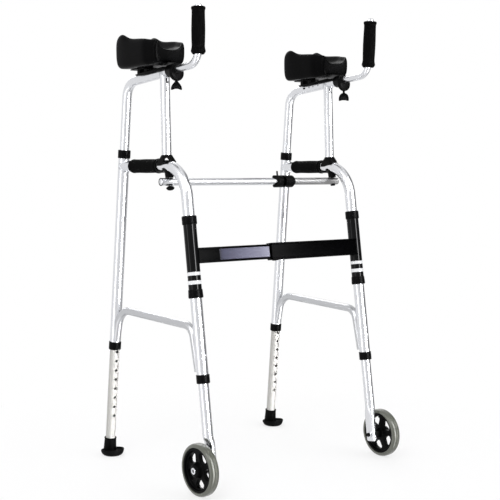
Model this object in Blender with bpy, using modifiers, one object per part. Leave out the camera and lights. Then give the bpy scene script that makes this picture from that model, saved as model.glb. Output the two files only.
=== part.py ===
"""Two-wheeled folding walker with forearm troughs, at its real size in metres.

The front, with the wheels, faces -Y. The origin lies on the floor, midway between the sides.
Each side frame is flat. It is drawn in its own plane by side, outboard distance, y and z, and is
then turned a little about its front leg, so that the rear feet stand wider than the wheels.
"""

import math

import bmesh
import bpy
from mathutils import Matrix, Vector

# General sizes
GAP = 0.0003
SIDES = 16
FINE_SIDES = 12
HOLE_SIDES = 8
BEND_STEPS = 6

# Stance of the side frames
LEG_SPACING = 0.526
TOE_OUT = math.radians(1.58)
FRONT_LEAN = math.radians(8.44)
FRONT_FOOT_Y = -0.2138
REAR_LEAN = math.radians(5.79)
REAR_FOOT_Y = 0.2521

# Frame tubes
LEG_DIAMETER = 0.0286
LEG_WALL = 0.0013
EXTENSION_DIAMETER = 0.0254
EXTENSION_WALL = 0.0013
PLATFORM_DIAMETER = 0.0240
PLATFORM_WALL = 0.0012
BRACE_DIAMETER = 0.0200
BRACE_WALL = 0.0012
LEG_BEND_RADIUS = 0.045
HANDLE_RUN_Z = 0.7725
FRONT_COLLAR_Z = 0.269
REAR_COLLAR_Z = 0.299
UPPER_COLLAR_Z = 0.804
COLLAR_HEIGHT = 0.021
COLLAR_WALL = 0.0016
COLLAR_LIP = 0.004

# Side brace, as corners in the frame's plane
BRACE_REAR_Z = 0.313
BRACE_REAR_CORNER = (0.193, 0.3985)
BRACE_FRONT_CORNER = (-0.1305, 0.3895)
BRACE_FRONT_Z = 0.284
BRACE_REAR_INSET = 0.0075
BRACE_FRONT_INSET = 0.0156
BRACE_REAR_RADIUS = 0.055
BRACE_FRONT_RADIUS = 0.035

# Arm support
PLATFORM_LEVEL_Z = 0.9976
PLATFORM_SLOPE = 0.0796
PLATFORM_FRONT_Y = -0.0570
PLATFORM_BEND_RADIUS = 0.045
PLATFORM_PLUG_LENGTH = 0.060
POST_FOOT_Y = -0.0240
POST_FOOT_Z = 0.798
POST_SLOPE = 0.039
POST_HOLE_Z = 0.975
SUPPORT_HOLE_Y = (0.051, 0.034, 0.012)
SUPPORT_SLOT_Y = 0.073
SUPPORT_HOLE_RADIUS = 0.0022
SUPPORT_SLOT_LENGTH = 0.010

# Leg adjustment
HOLE_PITCH = 0.025
HOLE_RADIUS = 0.0040
BUTTON_RADIUS = 0.0035
BUTTON_PROUD = 0.0028
REAR_BUTTON_Z = 0.3326
REAR_HOLES_BELOW = 9
REAR_HOLES_ABOVE = 2
FRONT_BUTTON_Z = 0.3246
FRONT_HOLES_ABOVE = 5
REAR_EXTENSION_TOP_Z = 0.500
FRONT_EXTENSION_TOP_Z = 0.492

# Foot
FOOT_SOLE_Y = 0.236
FOOT_SOLE_RADIUS = 0.031
FOOT_SOLE_RIM_Z = 0.010
FOOT_SOLE_THICKNESS = 0.0035
FOOT_TREAD_RADIUS = 0.020
FOOT_SOCKET_TOP_Z = 0.046
FOOT_SOCKET_RADIUS = 0.0156
FOOT_BASE_RADIUS = 0.0185
FOOT_FLOOR_THICKNESS = 0.009

# Wheel
WHEEL_RADIUS = 0.0625
WHEEL_SIDES = 32
WHEEL_OUT = 0.031
TYRE_WIDTH = 0.025
TYRE_DEPTH = 0.0097
TYRE_ROUND = 0.0060
DISC_RIM_WIDTH = 0.0225
DISC_RIM_DEPTH = 0.0072
DISC_WEB = 0.0050
HUB_RADIUS = 0.0110
HUB_OUTER_HEIGHT = 0.0090
WINDOW_COUNT = 5
WINDOW_INNER_RADIUS = 0.0195
WINDOW_OUTER_RADIUS = 0.0415
WINDOW_OUTER_ANGLE = math.radians(25)
WINDOW_INNER_HALF = 0.0045
AXLE_RADIUS = 0.0040
AXLE_HEAD_RADIUS = 0.0075
AXLE_HEAD_HEIGHT = 0.0030
AXLE_NUT_RADIUS = 0.0052
AXLE_NUT_HEIGHT = 0.0040
TONGUE_WIDTH = 0.0300
TONGUE_THICKNESS = 0.0140
TONGUE_INSET = 0.0035
TONGUE_TOP_Z = 0.134
TONGUE_BOTTOM_Z = 0.045
BOSS_RADIUS = 0.0100
BOSS_HEIGHT = 0.0015

# Sleeves and crossbar
SLEEVE_TOP_Z = 0.6425
SLEEVE_BOTTOM_Z = 0.469
SLEEVE_WALL = 0.0014
SLEEVE_RING_HEIGHT = 0.021
SLEEVE_RING_WALL = 0.0030
CROSSBAR_Z = 0.558
CROSSBAR_HEIGHT = 0.037
CROSSBAR_DEPTH = 0.014
CROSSBAR_WALL = 0.0015
CROSSBAR_RIM = 0.0045
CROSSBAR_FORWARD = 0.004
CROSSBAR_SPLICE_X = -0.032
CROSSBAR_OVERLAP = 0.060

# Saddle between the handle run, the front post and the stay
SADDLE_FRONT_Y = -0.0590
SADDLE_REAR_Y = 0.0050
SADDLE_WIDTH = 0.0350
SADDLE_TOP_Z = 0.8030
SADDLE_UNDER_WALL = 0.0035
SADDLE_RING_WALL = 0.0030
SADDLE_RING_HEIGHT = 0.0100
SADDLE_TAPER = 0.0160
SADDLE_STEM_TOP_RADIUS = 0.0135
SADDLE_STEM_RADIUS = 0.0100
WINDOW_BASE = 0.024
WINDOW_HEIGHT = 0.012

# Stay
STAY_OFFSET = 0.067
STAY_Z = 0.7335
STAY_DIAMETER = 0.0190
STAY_WALL = 0.0012
STAY_END_RIGHT = 0.028
STAY_END_LEFT = 0.018
STAY_HINGE_X = 0.0875
HINGE_RADIUS = 0.0160
HINGE_BAND_WALL = 0.0030
HINGE_COLLAR_LEFT = 0.0275
HINGE_COLLAR_RIGHT = 0.0065
HINGE_BODY_LEFT = 0.0030
HINGE_BODY_LENGTH = 0.0395
HINGE_SCOOP_RADIUS = 0.0243
HINGE_SCOOP_DEPTH = 0.0060
HINGE_SCOOP_BACK = 0.0134
HINGE_KNUCKLE_OFFSET = 0.0185
HINGE_KNUCKLE_RADIUS = 0.0050
HINGE_KNUCKLE_HEIGHT = 0.0080
HINGE_PIN_RADIUS = 0.0020
BOLT_RADIUS = 0.0030
BOLT_FOOT_RADIUS = 0.0065
BOLT_FOOT_HEIGHT = 0.0030
KNOB_RADIUS = 0.0080
KNOB_HEIGHT = 0.0110

# Grip on the handle run
HANDLE_GRIP_FRONT_Y = 0.0065
HANDLE_GRIP_REAR_Y = 0.1300
HANDLE_GRIP_RADIUS = 0.0170
HANDLE_GRIP_FLARE = 0.0185

# Trough, by its own stations in run(): y, half width, top, bottom and gutter floor
TROUGH_STATIONS = (
    (0.1200, 0.0430, 1.0780, 1.0290, 1.0600),
    (0.1130, 0.0480, 1.0900, 1.0185, 1.0560),
    (0.0930, 0.0505, 1.0960, 1.0145, 1.0540),
    (0.0700, 0.0505, 1.0870, 1.0145, 1.0530),
    (0.0500, 0.0500, 1.0820, 1.0145, 1.0530),
    (0.0100, 0.0495, 1.0790, 1.0150, 1.0530),
    (-0.0220, 0.0490, 1.0755, 1.0155, 1.0530),
    (-0.0380, 0.0455, 1.0740, 1.0155, 1.0530),
    (-0.0450, 0.0390, 1.0700, 1.0200, 1.0500),
)
TROUGH_UNDER_Y = 0.100
TROUGH_UNDER_Z = 1.0145
TROUGH_UNDER_SLOPE = 0.008
TROUGH_FLAT_WIDTH = 0.090
TROUGH_FLAT_LENGTH = 0.220
TROUGH_FLAT_DEPTH = 0.010
BRACKET_WIDTH = 0.040
BRACKET_PLATE = 0.0025
BRACKET_REAR_Y = 0.108
BRACKET_FRONT_Y = -0.002
BRACKET_FOOT_LENGTH = 0.012
BRACKET_FOOT_WIDTH = 0.020
BRACKET_STRAP_REAR_Y = 0.100
BRACKET_STRAP_FRONT_Y = -0.024
BRACKET_STRAP_THICKNESS = 0.0040
BRACKET_FEET_Y = (0.086, 0.006)

# Handle bar and its clamp
CLAMP_Y = {"right": -0.066, "left": -0.083}
CLAMP_DISC_RADIUS = 0.0195
CLAMP_DISC_THICKNESS = 0.0100
CLAMP_DISC_Z = 0.9945
CLAMP_BOSS_RADIUS = 0.0155
CLAMP_BOSS_LENGTH = 0.0230
CLAMP_TUBE_STOP = 0.0037
BAR_DIAMETER = 0.0180
BAR_WALL = 0.0012
BAR_UPRIGHT_Y = {"right": -0.155, "left": -0.179}
BAR_TIP_Y = {"right": -0.155, "left": -0.187}
BAR_RISE = {"right": 0.1464, "left": 0.1544}
BAR_BEND_RADIUS = 0.036
BAR_INSERT = 0.070
BAR_BUSH_RADIUS = 0.0102
BAR_BUSH_LENGTH = 0.030
BAR_CAP_RADIUS = 0.0080
GRIP_DROP = {"right": 0.1130, "left": 0.1220}
GRIP_LENGTH = 0.110
GRIP_RADIUS = 0.0155
GRIP_END_RADIUS = 0.0175
WING_SHANK_RADIUS = 0.0030
WING_DROP = {"right": 0.0, "left": 0.005}
WING_HEIGHT = 0.0210
WING_TOP_WIDTH = 0.0100
WING_BOTTOM_WIDTH = 0.0270
WING_THICKNESS = 0.0060

FINISHES = {
    "aluminium": ("C4C6C8", 0.32, 1.0),
    "black_gloss": ("0B0B0D", 0.12, 0.0),
    "black_plastic": ("131314", 0.45, 0.0),
    "black_foam": ("141413", 0.85, 0.0),
    "black_leatherette": ("121214", 0.38, 0.0),
    "grey_tyre": ("8F918A", 0.60, 0.0),
    "black_rubber": ("151516", 0.70, 0.0),
    "steel": ("B9BABC", 0.25, 1.0),
}

SIDE_SIGN = {"right": -1, "left": 1}
HALF_SPACING = LEG_SPACING / 2
FOLD_AXIS = Vector((0, math.sin(FRONT_LEAN), math.cos(FRONT_LEAN)))
FOLD_BACK = Vector((0, math.cos(FRONT_LEAN), -math.sin(FRONT_LEAN)))
REAR_AXIS = Vector((0, -math.sin(REAR_LEAN), math.cos(REAR_LEAN)))
REAR_FORWARD = Vector((0, -math.cos(REAR_LEAN), -math.sin(REAR_LEAN)))
PLATFORM_AXIS = Vector((0, -1, PLATFORM_SLOPE)).normalized()
PLATFORM_UP = Vector((0, PLATFORM_SLOPE, 1)).normalized()

walker = None
cutters = None


def clear_scene():
    for obj in list(bpy.data.objects):
        bpy.data.objects.remove(obj, do_unlink=True)


def new_collection(name):
    made = bpy.data.collections.new(name)
    bpy.context.scene.collection.children.link(made)
    return made


def move_to(obj, collection):
    for old in list(obj.users_collection):
        old.objects.unlink(obj)
    collection.objects.link(obj)


def paint(obj, finish):
    hex_colour, roughness, metallic = FINISHES[finish]
    made = bpy.data.materials.new(obj.name + "_" + finish)
    made.use_nodes = True
    shader = made.node_tree.nodes["Principled BSDF"]
    channels = [int(hex_colour[i:i + 2], 16) / 255 for i in (0, 2, 4)]
    linear = [c / 12.92 if c <= 0.04045 else ((c + 0.055) / 1.055) ** 2.4 for c in channels]
    shader.inputs["Base Color"].default_value = (*linear, 1)
    shader.inputs["Roughness"].default_value = roughness
    shader.inputs["Metallic"].default_value = metallic
    obj.data.materials.clear()
    obj.data.materials.append(made)


def hang_on(obj, joint):
    """Hangs the object on an empty, with its own coordinates kept as they are before the toe-out."""
    if joint is not None:
        obj.parent = joint
        obj.matrix_parent_inverse = Matrix.Translation(-Vector(joint["home"]))


def finish_part(obj, name, finish, joint=None):
    obj.name = name
    obj.data.name = name
    move_to(obj, walker)
    paint(obj, finish)
    obj.data.shade_smooth()
    obj.data.set_sharp_from_angle(angle=math.radians(35))
    hang_on(obj, joint)
    return obj


def as_cutter(obj, name, joint=None):
    obj.name = name
    move_to(obj, cutters)
    obj.hide_render = True
    obj.display_type = "WIRE"
    hang_on(obj, joint)
    return obj


def combine(obj, other, operation="DIFFERENCE"):
    modifier = obj.modifiers.new(other.name, "BOOLEAN")
    modifier.object = other
    modifier.operation = operation
    modifier.solver = "EXACT"


def joint_empty(name, place, axis, joint=None):
    """An empty whose Z lies on the joint's axis."""
    empty = bpy.data.objects.new(name, None)
    walker.objects.link(empty)
    empty.empty_display_size = 0.03
    empty.location = place
    empty["home"] = list(place)
    empty["axis"] = list(axis)
    hang_on(empty, joint)
    return empty


def around(radius, sides=SIDES):
    """Radius of a faceted bore whose flats clear a round piece of the given radius."""
    return (radius + GAP) / math.cos(math.pi / sides)


def at(side, out, y, z):
    return Vector((SIDE_SIGN[side] * (HALF_SPACING + out), y, z))


def outboard(side):
    return Vector((SIDE_SIGN[side], 0, 0))


def frame_turn(side):
    """The toe-out, as a rotation about the fold axis."""
    return Matrix.Rotation(-SIDE_SIGN[side] * TOE_OUT, 3, FOLD_AXIS)


def front_y(z):
    return FRONT_FOOT_Y + math.tan(FRONT_LEAN) * z


def rear_y(z):
    return REAR_FOOT_Y - math.tan(REAR_LEAN) * z


def platform_z(y):
    return PLATFORM_LEVEL_Z - PLATFORM_SLOPE * y


def front_leg_point(side, z, out=0.0):
    return at(side, out, front_y(z), z)


def rear_leg_point(side, z):
    return at(side, 0, rear_y(z), z)


def arc_corner(before, corner, after, radius, steps):
    """Points of the arc that rounds one corner of a bent tube."""
    towards = (before - corner).normalized()
    onwards = (after - corner).normalized()
    half = towards.angle(onwards) / 2
    start = corner + towards * radius / math.tan(half)
    centre = corner + (towards + onwards).normalized() * radius / math.sin(half)
    turn = math.pi - 2 * half
    normal = (corner - before).cross(after - corner).normalized()
    arm = start - centre
    return [centre + Matrix.Rotation(turn * i / steps, 3, normal) @ arm for i in range(steps + 1)]


def bent_path(corners, radii, steps=BEND_STEPS):
    path = [corners[0]]
    for i, radius in enumerate(radii, 1):
        path += arc_corner(corners[i - 1], corners[i], corners[i + 1], radius, steps)
    return path + [corners[-1]]


def tube(path, diameter, wall=0.0, sides=SIDES):
    """A bent tube. With a wall it is open at both ends, without one it is a closed rod."""
    curve = bpy.data.curves.new("tube", "CURVE")
    curve.dimensions = "3D"
    curve.bevel_depth = diameter / 2
    curve.bevel_resolution = sides // 2 - 2
    curve.use_fill_caps = wall == 0
    spline = curve.splines.new("POLY")
    spline.points.add(len(path) - 1)
    for point, place in zip(spline.points, path):
        point.co = (*place, 1)
    guide = bpy.data.objects.new("tube", curve)
    bpy.context.scene.collection.objects.link(guide)
    bpy.context.view_layer.update()
    graph = bpy.context.evaluated_depsgraph_get()
    mesh = bpy.data.meshes.new_from_object(guide.evaluated_get(graph))
    made = bpy.data.objects.new("tube", mesh)
    made.matrix_world = guide.matrix_world
    bpy.data.objects.remove(guide, do_unlink=True)
    bpy.context.scene.collection.objects.link(made)
    weld(mesh)
    if wall:
        shell = made.modifiers.new("wall", "SOLIDIFY")
        shell.thickness = wall
        shell.offset = -1
        shell.use_even_offset = True
    return made


def weld(mesh, distance=0.00001):
    form = bmesh.new()
    form.from_mesh(mesh)
    bmesh.ops.remove_doubles(form, verts=form.verts, dist=distance)
    form.to_mesh(mesh)
    form.free()


def rod(start, end, radius, sides=HOLE_SIDES, end_radius=None):
    """A straight round bar, or a cone when it has an end radius."""
    run = end - start
    bpy.ops.mesh.primitive_cone_add(
        vertices=sides,
        radius1=radius,
        radius2=radius if end_radius is None else end_radius,
        depth=run.length,
        location=(start + end) / 2,
        rotation=run.to_track_quat("Z", "Y").to_euler(),
    )
    return bpy.context.active_object


def turned(profile, place, axis, sides=SIDES):
    """A turned piece: the profile's (radius, height) points, top to bottom, swept about the axis."""
    mesh = bpy.data.meshes.new("turned")
    on_axis = profile[0][0] == 0 and profile[-1][0] == 0
    edges = [(i, i + 1) for i in range(len(profile) - 1)]
    if not on_axis:
        edges.append((len(profile) - 1, 0))
    mesh.from_pydata([(radius, 0, height) for radius, height in profile], edges, [])
    made = bpy.data.objects.new("turned", mesh)
    bpy.context.scene.collection.objects.link(made)
    made.location = place
    made.rotation_euler = axis.to_track_quat("Z", "Y").to_euler()
    screw = made.modifiers.new("turn", "SCREW")
    screw.axis = "Z"
    screw.angle = 2 * math.pi
    screw.steps = sides
    screw.render_steps = sides
    screw.use_merge_vertices = True
    screw.merge_threshold = 0.00001
    screw.use_smooth_shade = True
    return made


def box(centre, size, tilt=0.0, bevel=0.0, segments=1):
    """A box turned by tilt about X, with its scale applied before the bevel."""
    bpy.ops.mesh.primitive_cube_add(size=1, location=centre, rotation=(tilt, 0, 0))
    made = bpy.context.active_object
    made.data.transform(Matrix.Diagonal((*size, 1)))
    if bevel:
        rounding = made.modifiers.new("edges", "BEVEL")
        rounding.width = bevel
        rounding.segments = segments
    return made


def plate(outline, thickness, place, across, up):
    """A flat outline of (across, up) points, extruded evenly to both sides."""
    curve = bpy.data.curves.new("plate", "CURVE")
    curve.dimensions = "2D"
    curve.fill_mode = "BOTH"
    curve.extrude = thickness / 2
    spline = curve.splines.new("POLY")
    spline.points.add(len(outline) - 1)
    spline.use_cyclic_u = True
    for point, (x, y) in zip(spline.points, outline):
        point.co = (x, y, 0, 1)
    guide = bpy.data.objects.new("plate", curve)
    bpy.context.scene.collection.objects.link(guide)
    bpy.context.view_layer.update()
    graph = bpy.context.evaluated_depsgraph_get()
    mesh = bpy.data.meshes.new_from_object(guide.evaluated_get(graph))
    bpy.data.objects.remove(guide, do_unlink=True)
    weld(mesh)
    made = bpy.data.objects.new("plate", mesh)
    bpy.context.scene.collection.objects.link(made)
    turn = Matrix((across, up, across.cross(up))).transposed().to_4x4()
    made.matrix_world = Matrix.Translation(place) @ turn
    return made


def collar(side, name, place, axis, outer, inner, joint):
    """A plastic collar over the end of the outer tube, with a lip that closes onto the inner one."""
    half = COLLAR_HEIGHT / 2
    skin = around(outer) + COLLAR_WALL
    profile = [
        (around(outer), half),
        (skin - 0.0006, half),
        (skin, half - 0.0008),
        (skin, -half + 0.0012),
        (skin - 0.0012, -half),
        (around(inner), -half),
        (around(inner), -half + COLLAR_LIP),
        (around(outer), -half + COLLAR_LIP),
    ]
    made = turned(profile, place, axis)
    return finish_part(made, f"{name}_{side}", "black_plastic", joint)


def front_leg_tube(side, frame):
    lip_top = FRONT_COLLAR_Z - (COLLAR_HEIGHT / 2 - COLLAR_LIP - GAP) * math.cos(FRONT_LEAN)
    corner_z = HANDLE_RUN_Z
    corners = [
        front_leg_point(side, lip_top),
        front_leg_point(side, corner_z),
        rear_leg_point(side, corner_z),
    ]
    leg = tube(bent_path(corners, [LEG_BEND_RADIUS]), LEG_DIAMETER, LEG_WALL)
    finish_part(leg, f"front_leg_tube_{side}", "aluminium", frame)
    seat = rod(
        rear_leg_point(side, corner_z - 0.04), rear_leg_point(side, corner_z + 0.04),
        around(LEG_DIAMETER / 2), SIDES,
    )
    combine(leg, as_cutter(seat, f"rear_leg_seat_{side}", frame))
    combine(leg, button_hole(side, "front", frame))


def button_place(side, which):
    if which == "front":
        return front_leg_point(side, FRONT_BUTTON_Z), -FOLD_BACK
    return rear_leg_point(side, REAR_BUTTON_Z), REAR_FORWARD


def button_hole(side, which, frame):
    place, outward = button_place(side, which)
    radius = around(BUTTON_RADIUS, HOLE_SIDES)
    hole = rod(place + outward * 0.008, place + outward * 0.02, radius)
    return as_cutter(hole, f"{which}_button_hole_{side}", frame)


def snap_button(side, which, frame):
    place, outward = button_place(side, which)
    inner = (LEG_DIAMETER / 2 - LEG_WALL) + 0.0001
    outer = LEG_DIAMETER / 2 + BUTTON_PROUD
    joint = joint_empty(f"{which}_button_joint_{side}", place, outward, frame)
    profile = [
        (0, outer),
        (BUTTON_RADIUS * 0.62, outer - 0.0004),
        (BUTTON_RADIUS, outer - 0.0016),
        (BUTTON_RADIUS, inner),
        (0, inner),
    ]
    made = turned(profile, place, outward, HOLE_SIDES)
    finish_part(made, f"{which}_snap_button_{side}", "steel", joint)


def rear_leg_tube(side, frame):
    lip_top = REAR_COLLAR_Z - (COLLAR_HEIGHT / 2 - COLLAR_LIP - GAP) * math.cos(REAR_LEAN)
    upper_lip = UPPER_COLLAR_Z + (COLLAR_HEIGHT / 2 - COLLAR_LIP - GAP) * math.cos(REAR_LEAN)
    path = [rear_leg_point(side, lip_top), rear_leg_point(side, upper_lip)]
    leg = tube(path, LEG_DIAMETER, LEG_WALL)
    finish_part(leg, f"rear_leg_tube_{side}", "aluminium", frame)
    combine(leg, button_hole(side, "rear", frame))


def side_brace(side, frame):
    corners = [
        at(side, 0, rear_y(BRACE_REAR_Z) - BRACE_REAR_INSET, BRACE_REAR_Z),
        at(side, 0, *BRACE_REAR_CORNER),
        at(side, 0, *BRACE_FRONT_CORNER),
        at(side, 0, front_y(BRACE_FRONT_Z) + BRACE_FRONT_INSET, BRACE_FRONT_Z),
    ]
    path = bent_path(corners, [BRACE_REAR_RADIUS, BRACE_FRONT_RADIUS])
    brace = tube(path, BRACE_DIAMETER, BRACE_WALL, FINE_SIDES)
    finish_part(brace, f"side_brace_{side}", "aluminium", frame)
    seat = around(LEG_DIAMETER / 2)
    rear = rod(rear_leg_point(side, 0.24), rear_leg_point(side, 0.44), seat, SIDES)
    front = rod(front_leg_point(side, 0.22), front_leg_point(side, 0.44), seat, SIDES)
    combine(brace, as_cutter(rear, f"brace_rear_seat_{side}", frame))
    combine(brace, as_cutter(front, f"brace_front_seat_{side}", frame))


def platform_point(side, y, up=0.0, out=0.0):
    return at(side, out, y, platform_z(y)) + PLATFORM_UP * up


def platform_tube(side, frame):
    rear_slope = math.tan(REAR_LEAN)
    corner_z = (PLATFORM_LEVEL_Z - PLATFORM_SLOPE * REAR_FOOT_Y) / (1 - PLATFORM_SLOPE * rear_slope)
    corners = [
        rear_leg_point(side, UPPER_COLLAR_Z - PLATFORM_PLUG_LENGTH),
        rear_leg_point(side, corner_z),
        platform_point(side, PLATFORM_FRONT_Y),
    ]
    path = bent_path(corners, [PLATFORM_BEND_RADIUS])
    support = tube(path, PLATFORM_DIAMETER, PLATFORM_WALL)
    finish_part(support, f"platform_tube_{side}", "aluminium", frame)
    inboard = -outboard(side)
    for index, y in enumerate(SUPPORT_HOLE_Y):
        place = platform_point(side, y)
        hole = rod(place + inboard * 0.006, place + inboard * 0.02, SUPPORT_HOLE_RADIUS, 6)
        combine(support, as_cutter(hole, f"support_hole_{side}_{index}", frame))
    place = platform_point(side, SUPPORT_SLOT_Y) + inboard * 0.013
    slot = box(place, (0.014, 0.0046, SUPPORT_SLOT_LENGTH))
    combine(support, as_cutter(slot, f"support_slot_{side}", frame))


def post_point(side, z):
    return at(side, 0, POST_FOOT_Y + POST_SLOPE * (z - POST_FOOT_Z), z)


def front_post(side, frame):
    foot_z = HANDLE_RUN_Z + LEG_DIAMETER / 2 + 2 * GAP
    top_z = platform_z(POST_FOOT_Y)
    post = tube([post_point(side, foot_z), post_point(side, top_z)], PLATFORM_DIAMETER, PLATFORM_WALL)
    finish_part(post, f"front_post_{side}", "aluminium", frame)
    seat = rod(
        platform_point(side, 0.03), platform_point(side, PLATFORM_FRONT_Y - 0.03),
        around(PLATFORM_DIAMETER / 2), SIDES,
    )
    combine(post, as_cutter(seat, f"post_seat_{side}", frame))
    place = post_point(side, POST_HOLE_Z)
    hole = rod(place + Vector((0, -0.006, 0)), place + Vector((0, -0.02, 0)), SUPPORT_HOLE_RADIUS, 6)
    combine(post, as_cutter(hole, f"post_hole_{side}", frame))


def extension_holes(side, which, tube_object, places, outward, joint):
    for index, place in enumerate(places):
        hole = rod(place + outward * 0.006, place + outward * 0.02, HOLE_RADIUS, 6)
        combine(tube_object, as_cutter(hole, f"{which}_hole_{side}_{index}", joint))


def rear_extension(side, joint):
    bottom = rear_leg_point(side, FOOT_FLOOR_THICKNESS + 2 * GAP)
    top = rear_leg_point(side, REAR_EXTENSION_TOP_Z)
    inner = tube([bottom, top], EXTENSION_DIAMETER, EXTENSION_WALL)
    finish_part(inner, f"rear_extension_{side}", "aluminium", joint)
    start = rear_leg_point(side, REAR_BUTTON_Z)
    steps = range(-REAR_HOLES_BELOW, REAR_HOLES_ABOVE + 1)
    places = [start + REAR_AXIS * HOLE_PITCH * i for i in steps]
    extension_holes(side, "rear", inner, places, REAR_FORWARD, joint)


def rubber_foot(side, joint):
    turn = frame_turn(side)
    hinge = at(side, 0, FRONT_FOOT_Y, 0)
    on_floor = turn @ (at(side, 0, FOOT_SOLE_Y, 0) - hinge)
    on_floor.z = 0
    sole_centre = hinge + turn.inverted() @ on_floor
    level = turn.inverted() @ Vector((0, 0, 1))
    sole_profile = [
        (0, FOOT_SOLE_RIM_Z),
        (FOOT_SOLE_RADIUS - 0.003, FOOT_SOLE_RIM_Z),
        (FOOT_SOLE_RADIUS, FOOT_SOLE_RIM_Z - 0.0012),
        (FOOT_SOLE_RADIUS - 0.002, FOOT_SOLE_RIM_Z - FOOT_SOLE_THICKNESS),
        (FOOT_TREAD_RADIUS, 0),
        (0, 0),
    ]
    sole = turned(sole_profile, sole_centre, level, 20)
    finish_part(sole, f"rubber_foot_{side}", "black_rubber", joint)
    top = rear_leg_point(side, FOOT_SOCKET_TOP_Z)
    base = rear_leg_point(side, FOOT_SOLE_RIM_Z / 2)
    socket = rod(base, top, FOOT_BASE_RADIUS, SIDES, FOOT_SOCKET_RADIUS)
    combine(sole, as_cutter(socket, f"foot_socket_{side}", joint), "UNION")
    bore_start = rear_leg_point(side, FOOT_FLOOR_THICKNESS)
    bore = rod(bore_start, top + REAR_AXIS * 0.01, around(EXTENSION_DIAMETER / 2), SIDES)
    combine(sole, as_cutter(bore, f"foot_bore_{side}", joint))


def axle_place(side, out=0.0):
    """The toe-out lowers a wheel that stands outboard of its leg a little, which is made up here."""
    lowered = WHEEL_OUT * math.sin(TOE_OUT) * math.sin(FRONT_LEAN)
    return front_leg_point(side, WHEEL_RADIUS + lowered, out)


def front_extension(side, joint):
    bottom = front_leg_point(side, TONGUE_TOP_Z - 0.012)
    top = front_leg_point(side, FRONT_EXTENSION_TOP_Z)
    inner = tube([bottom, top], EXTENSION_DIAMETER, EXTENSION_WALL)
    finish_part(inner, f"front_extension_{side}", "aluminium", joint)
    start = front_leg_point(side, FRONT_BUTTON_Z)
    places = [start + FOLD_AXIS * HOLE_PITCH * i for i in range(FRONT_HOLES_ABOVE + 1)]
    extension_holes(side, "front", inner, places, -FOLD_BACK, joint)
    middle_z = (TONGUE_TOP_Z + TONGUE_BOTTOM_Z) / 2
    size = (TONGUE_THICKNESS, TONGUE_WIDTH, (TONGUE_TOP_Z - TONGUE_BOTTOM_Z) / math.cos(FRONT_LEAN))
    centre = front_leg_point(side, middle_z, -TONGUE_INSET)
    tongue = box(centre, size, -FRONT_LEAN, 0.006, 3)
    combine(inner, as_cutter(tongue, f"wheel_tongue_{side}", joint), "UNION")
    inner_face = -TONGUE_INSET - TONGUE_THICKNESS / 2
    boss = rod(
        axle_place(side, inner_face + 0.004), axle_place(side, inner_face - BOSS_HEIGHT),
        BOSS_RADIUS, SIDES,
    )
    combine(inner, as_cutter(boss, f"axle_boss_{side}", joint), "UNION")
    bore = rod(
        axle_place(side, inner_face - 0.01), axle_place(side, 0.012),
        around(AXLE_RADIUS, FINE_SIDES), FINE_SIDES,
    )
    combine(inner, as_cutter(bore, f"axle_bore_{side}", joint))


def tyre(side, wheel):
    half = TYRE_WIDTH / 2
    inner = WHEEL_RADIUS - TYRE_DEPTH
    shoulder = WHEEL_RADIUS - TYRE_ROUND
    profile = [
        (inner, half - 0.001),
        (inner + 0.001, half),
        (shoulder, half),
        (WHEEL_RADIUS - 0.0018, half - 0.0030),
        (WHEEL_RADIUS, half - 0.0075),
        (WHEEL_RADIUS, -half + 0.0075),
        (WHEEL_RADIUS - 0.0018, -half + 0.0030),
        (shoulder, -half),
        (inner + 0.001, -half),
        (inner, -half + 0.001),
    ]
    made = turned(profile, axle_place(side, WHEEL_OUT), outboard(side), WHEEL_SIDES)
    finish_part(made, f"tyre_{side}", "grey_tyre", wheel)


def disc_window(angle):
    """One window of the wheel disc, narrow at the hub, with its corners cut off."""
    spread = WINDOW_OUTER_ANGLE
    points = []
    for share in (-0.92, -0.35, 0.35, 0.92):
        points.append((WINDOW_OUTER_RADIUS, spread * share))
    points.insert(0, (WINDOW_OUTER_RADIUS - 0.004, -spread))
    points.append((WINDOW_OUTER_RADIUS - 0.004, spread))
    near = math.asin(WINDOW_INNER_HALF / WINDOW_INNER_RADIUS)
    points.append((WINDOW_INNER_RADIUS + 0.002, near))
    points.append((WINDOW_INNER_RADIUS, near * 0.5))
    points.append((WINDOW_INNER_RADIUS, -near * 0.5))
    points.append((WINDOW_INNER_RADIUS + 0.002, -near))
    return [(r * math.cos(a + angle), r * math.sin(a + angle)) for r, a in points]


def wheel_disc(side, wheel):
    outer = WHEEL_RADIUS - TYRE_DEPTH - GAP
    half_rim = DISC_RIM_WIDTH / 2
    half_web = DISC_WEB / 2
    bore = around(AXLE_RADIUS, FINE_SIDES)
    hub_inner = -(WHEEL_OUT - (TONGUE_THICKNESS / 2 - TONGUE_INSET) - 2 * GAP)
    profile = [
        (outer, half_rim),
        (outer, -half_rim),
        (outer - DISC_RIM_DEPTH + 0.001, -half_rim),
        (outer - DISC_RIM_DEPTH, -half_web),
        (HUB_RADIUS, -half_web),
        (HUB_RADIUS - 0.001, hub_inner),
        (bore, hub_inner),
        (bore, HUB_OUTER_HEIGHT),
        (HUB_RADIUS - 0.001, HUB_OUTER_HEIGHT),
        (HUB_RADIUS, half_web),
        (outer - DISC_RIM_DEPTH, half_web),
        (outer - DISC_RIM_DEPTH + 0.001, half_rim),
    ]
    place = axle_place(side, WHEEL_OUT)
    made = turned(profile, place, outboard(side), WHEEL_SIDES)
    finish_part(made, f"wheel_disc_{side}", "black_plastic", wheel)
    for index in range(WINDOW_COUNT):
        outline = disc_window(2 * math.pi * index / WINDOW_COUNT)
        window = plate(outline, 0.012, place, Vector((0, 1, 0)), Vector((0, 0, 1)))
        combine(made, as_cutter(window, f"disc_window_{side}_{index}", wheel))


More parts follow.
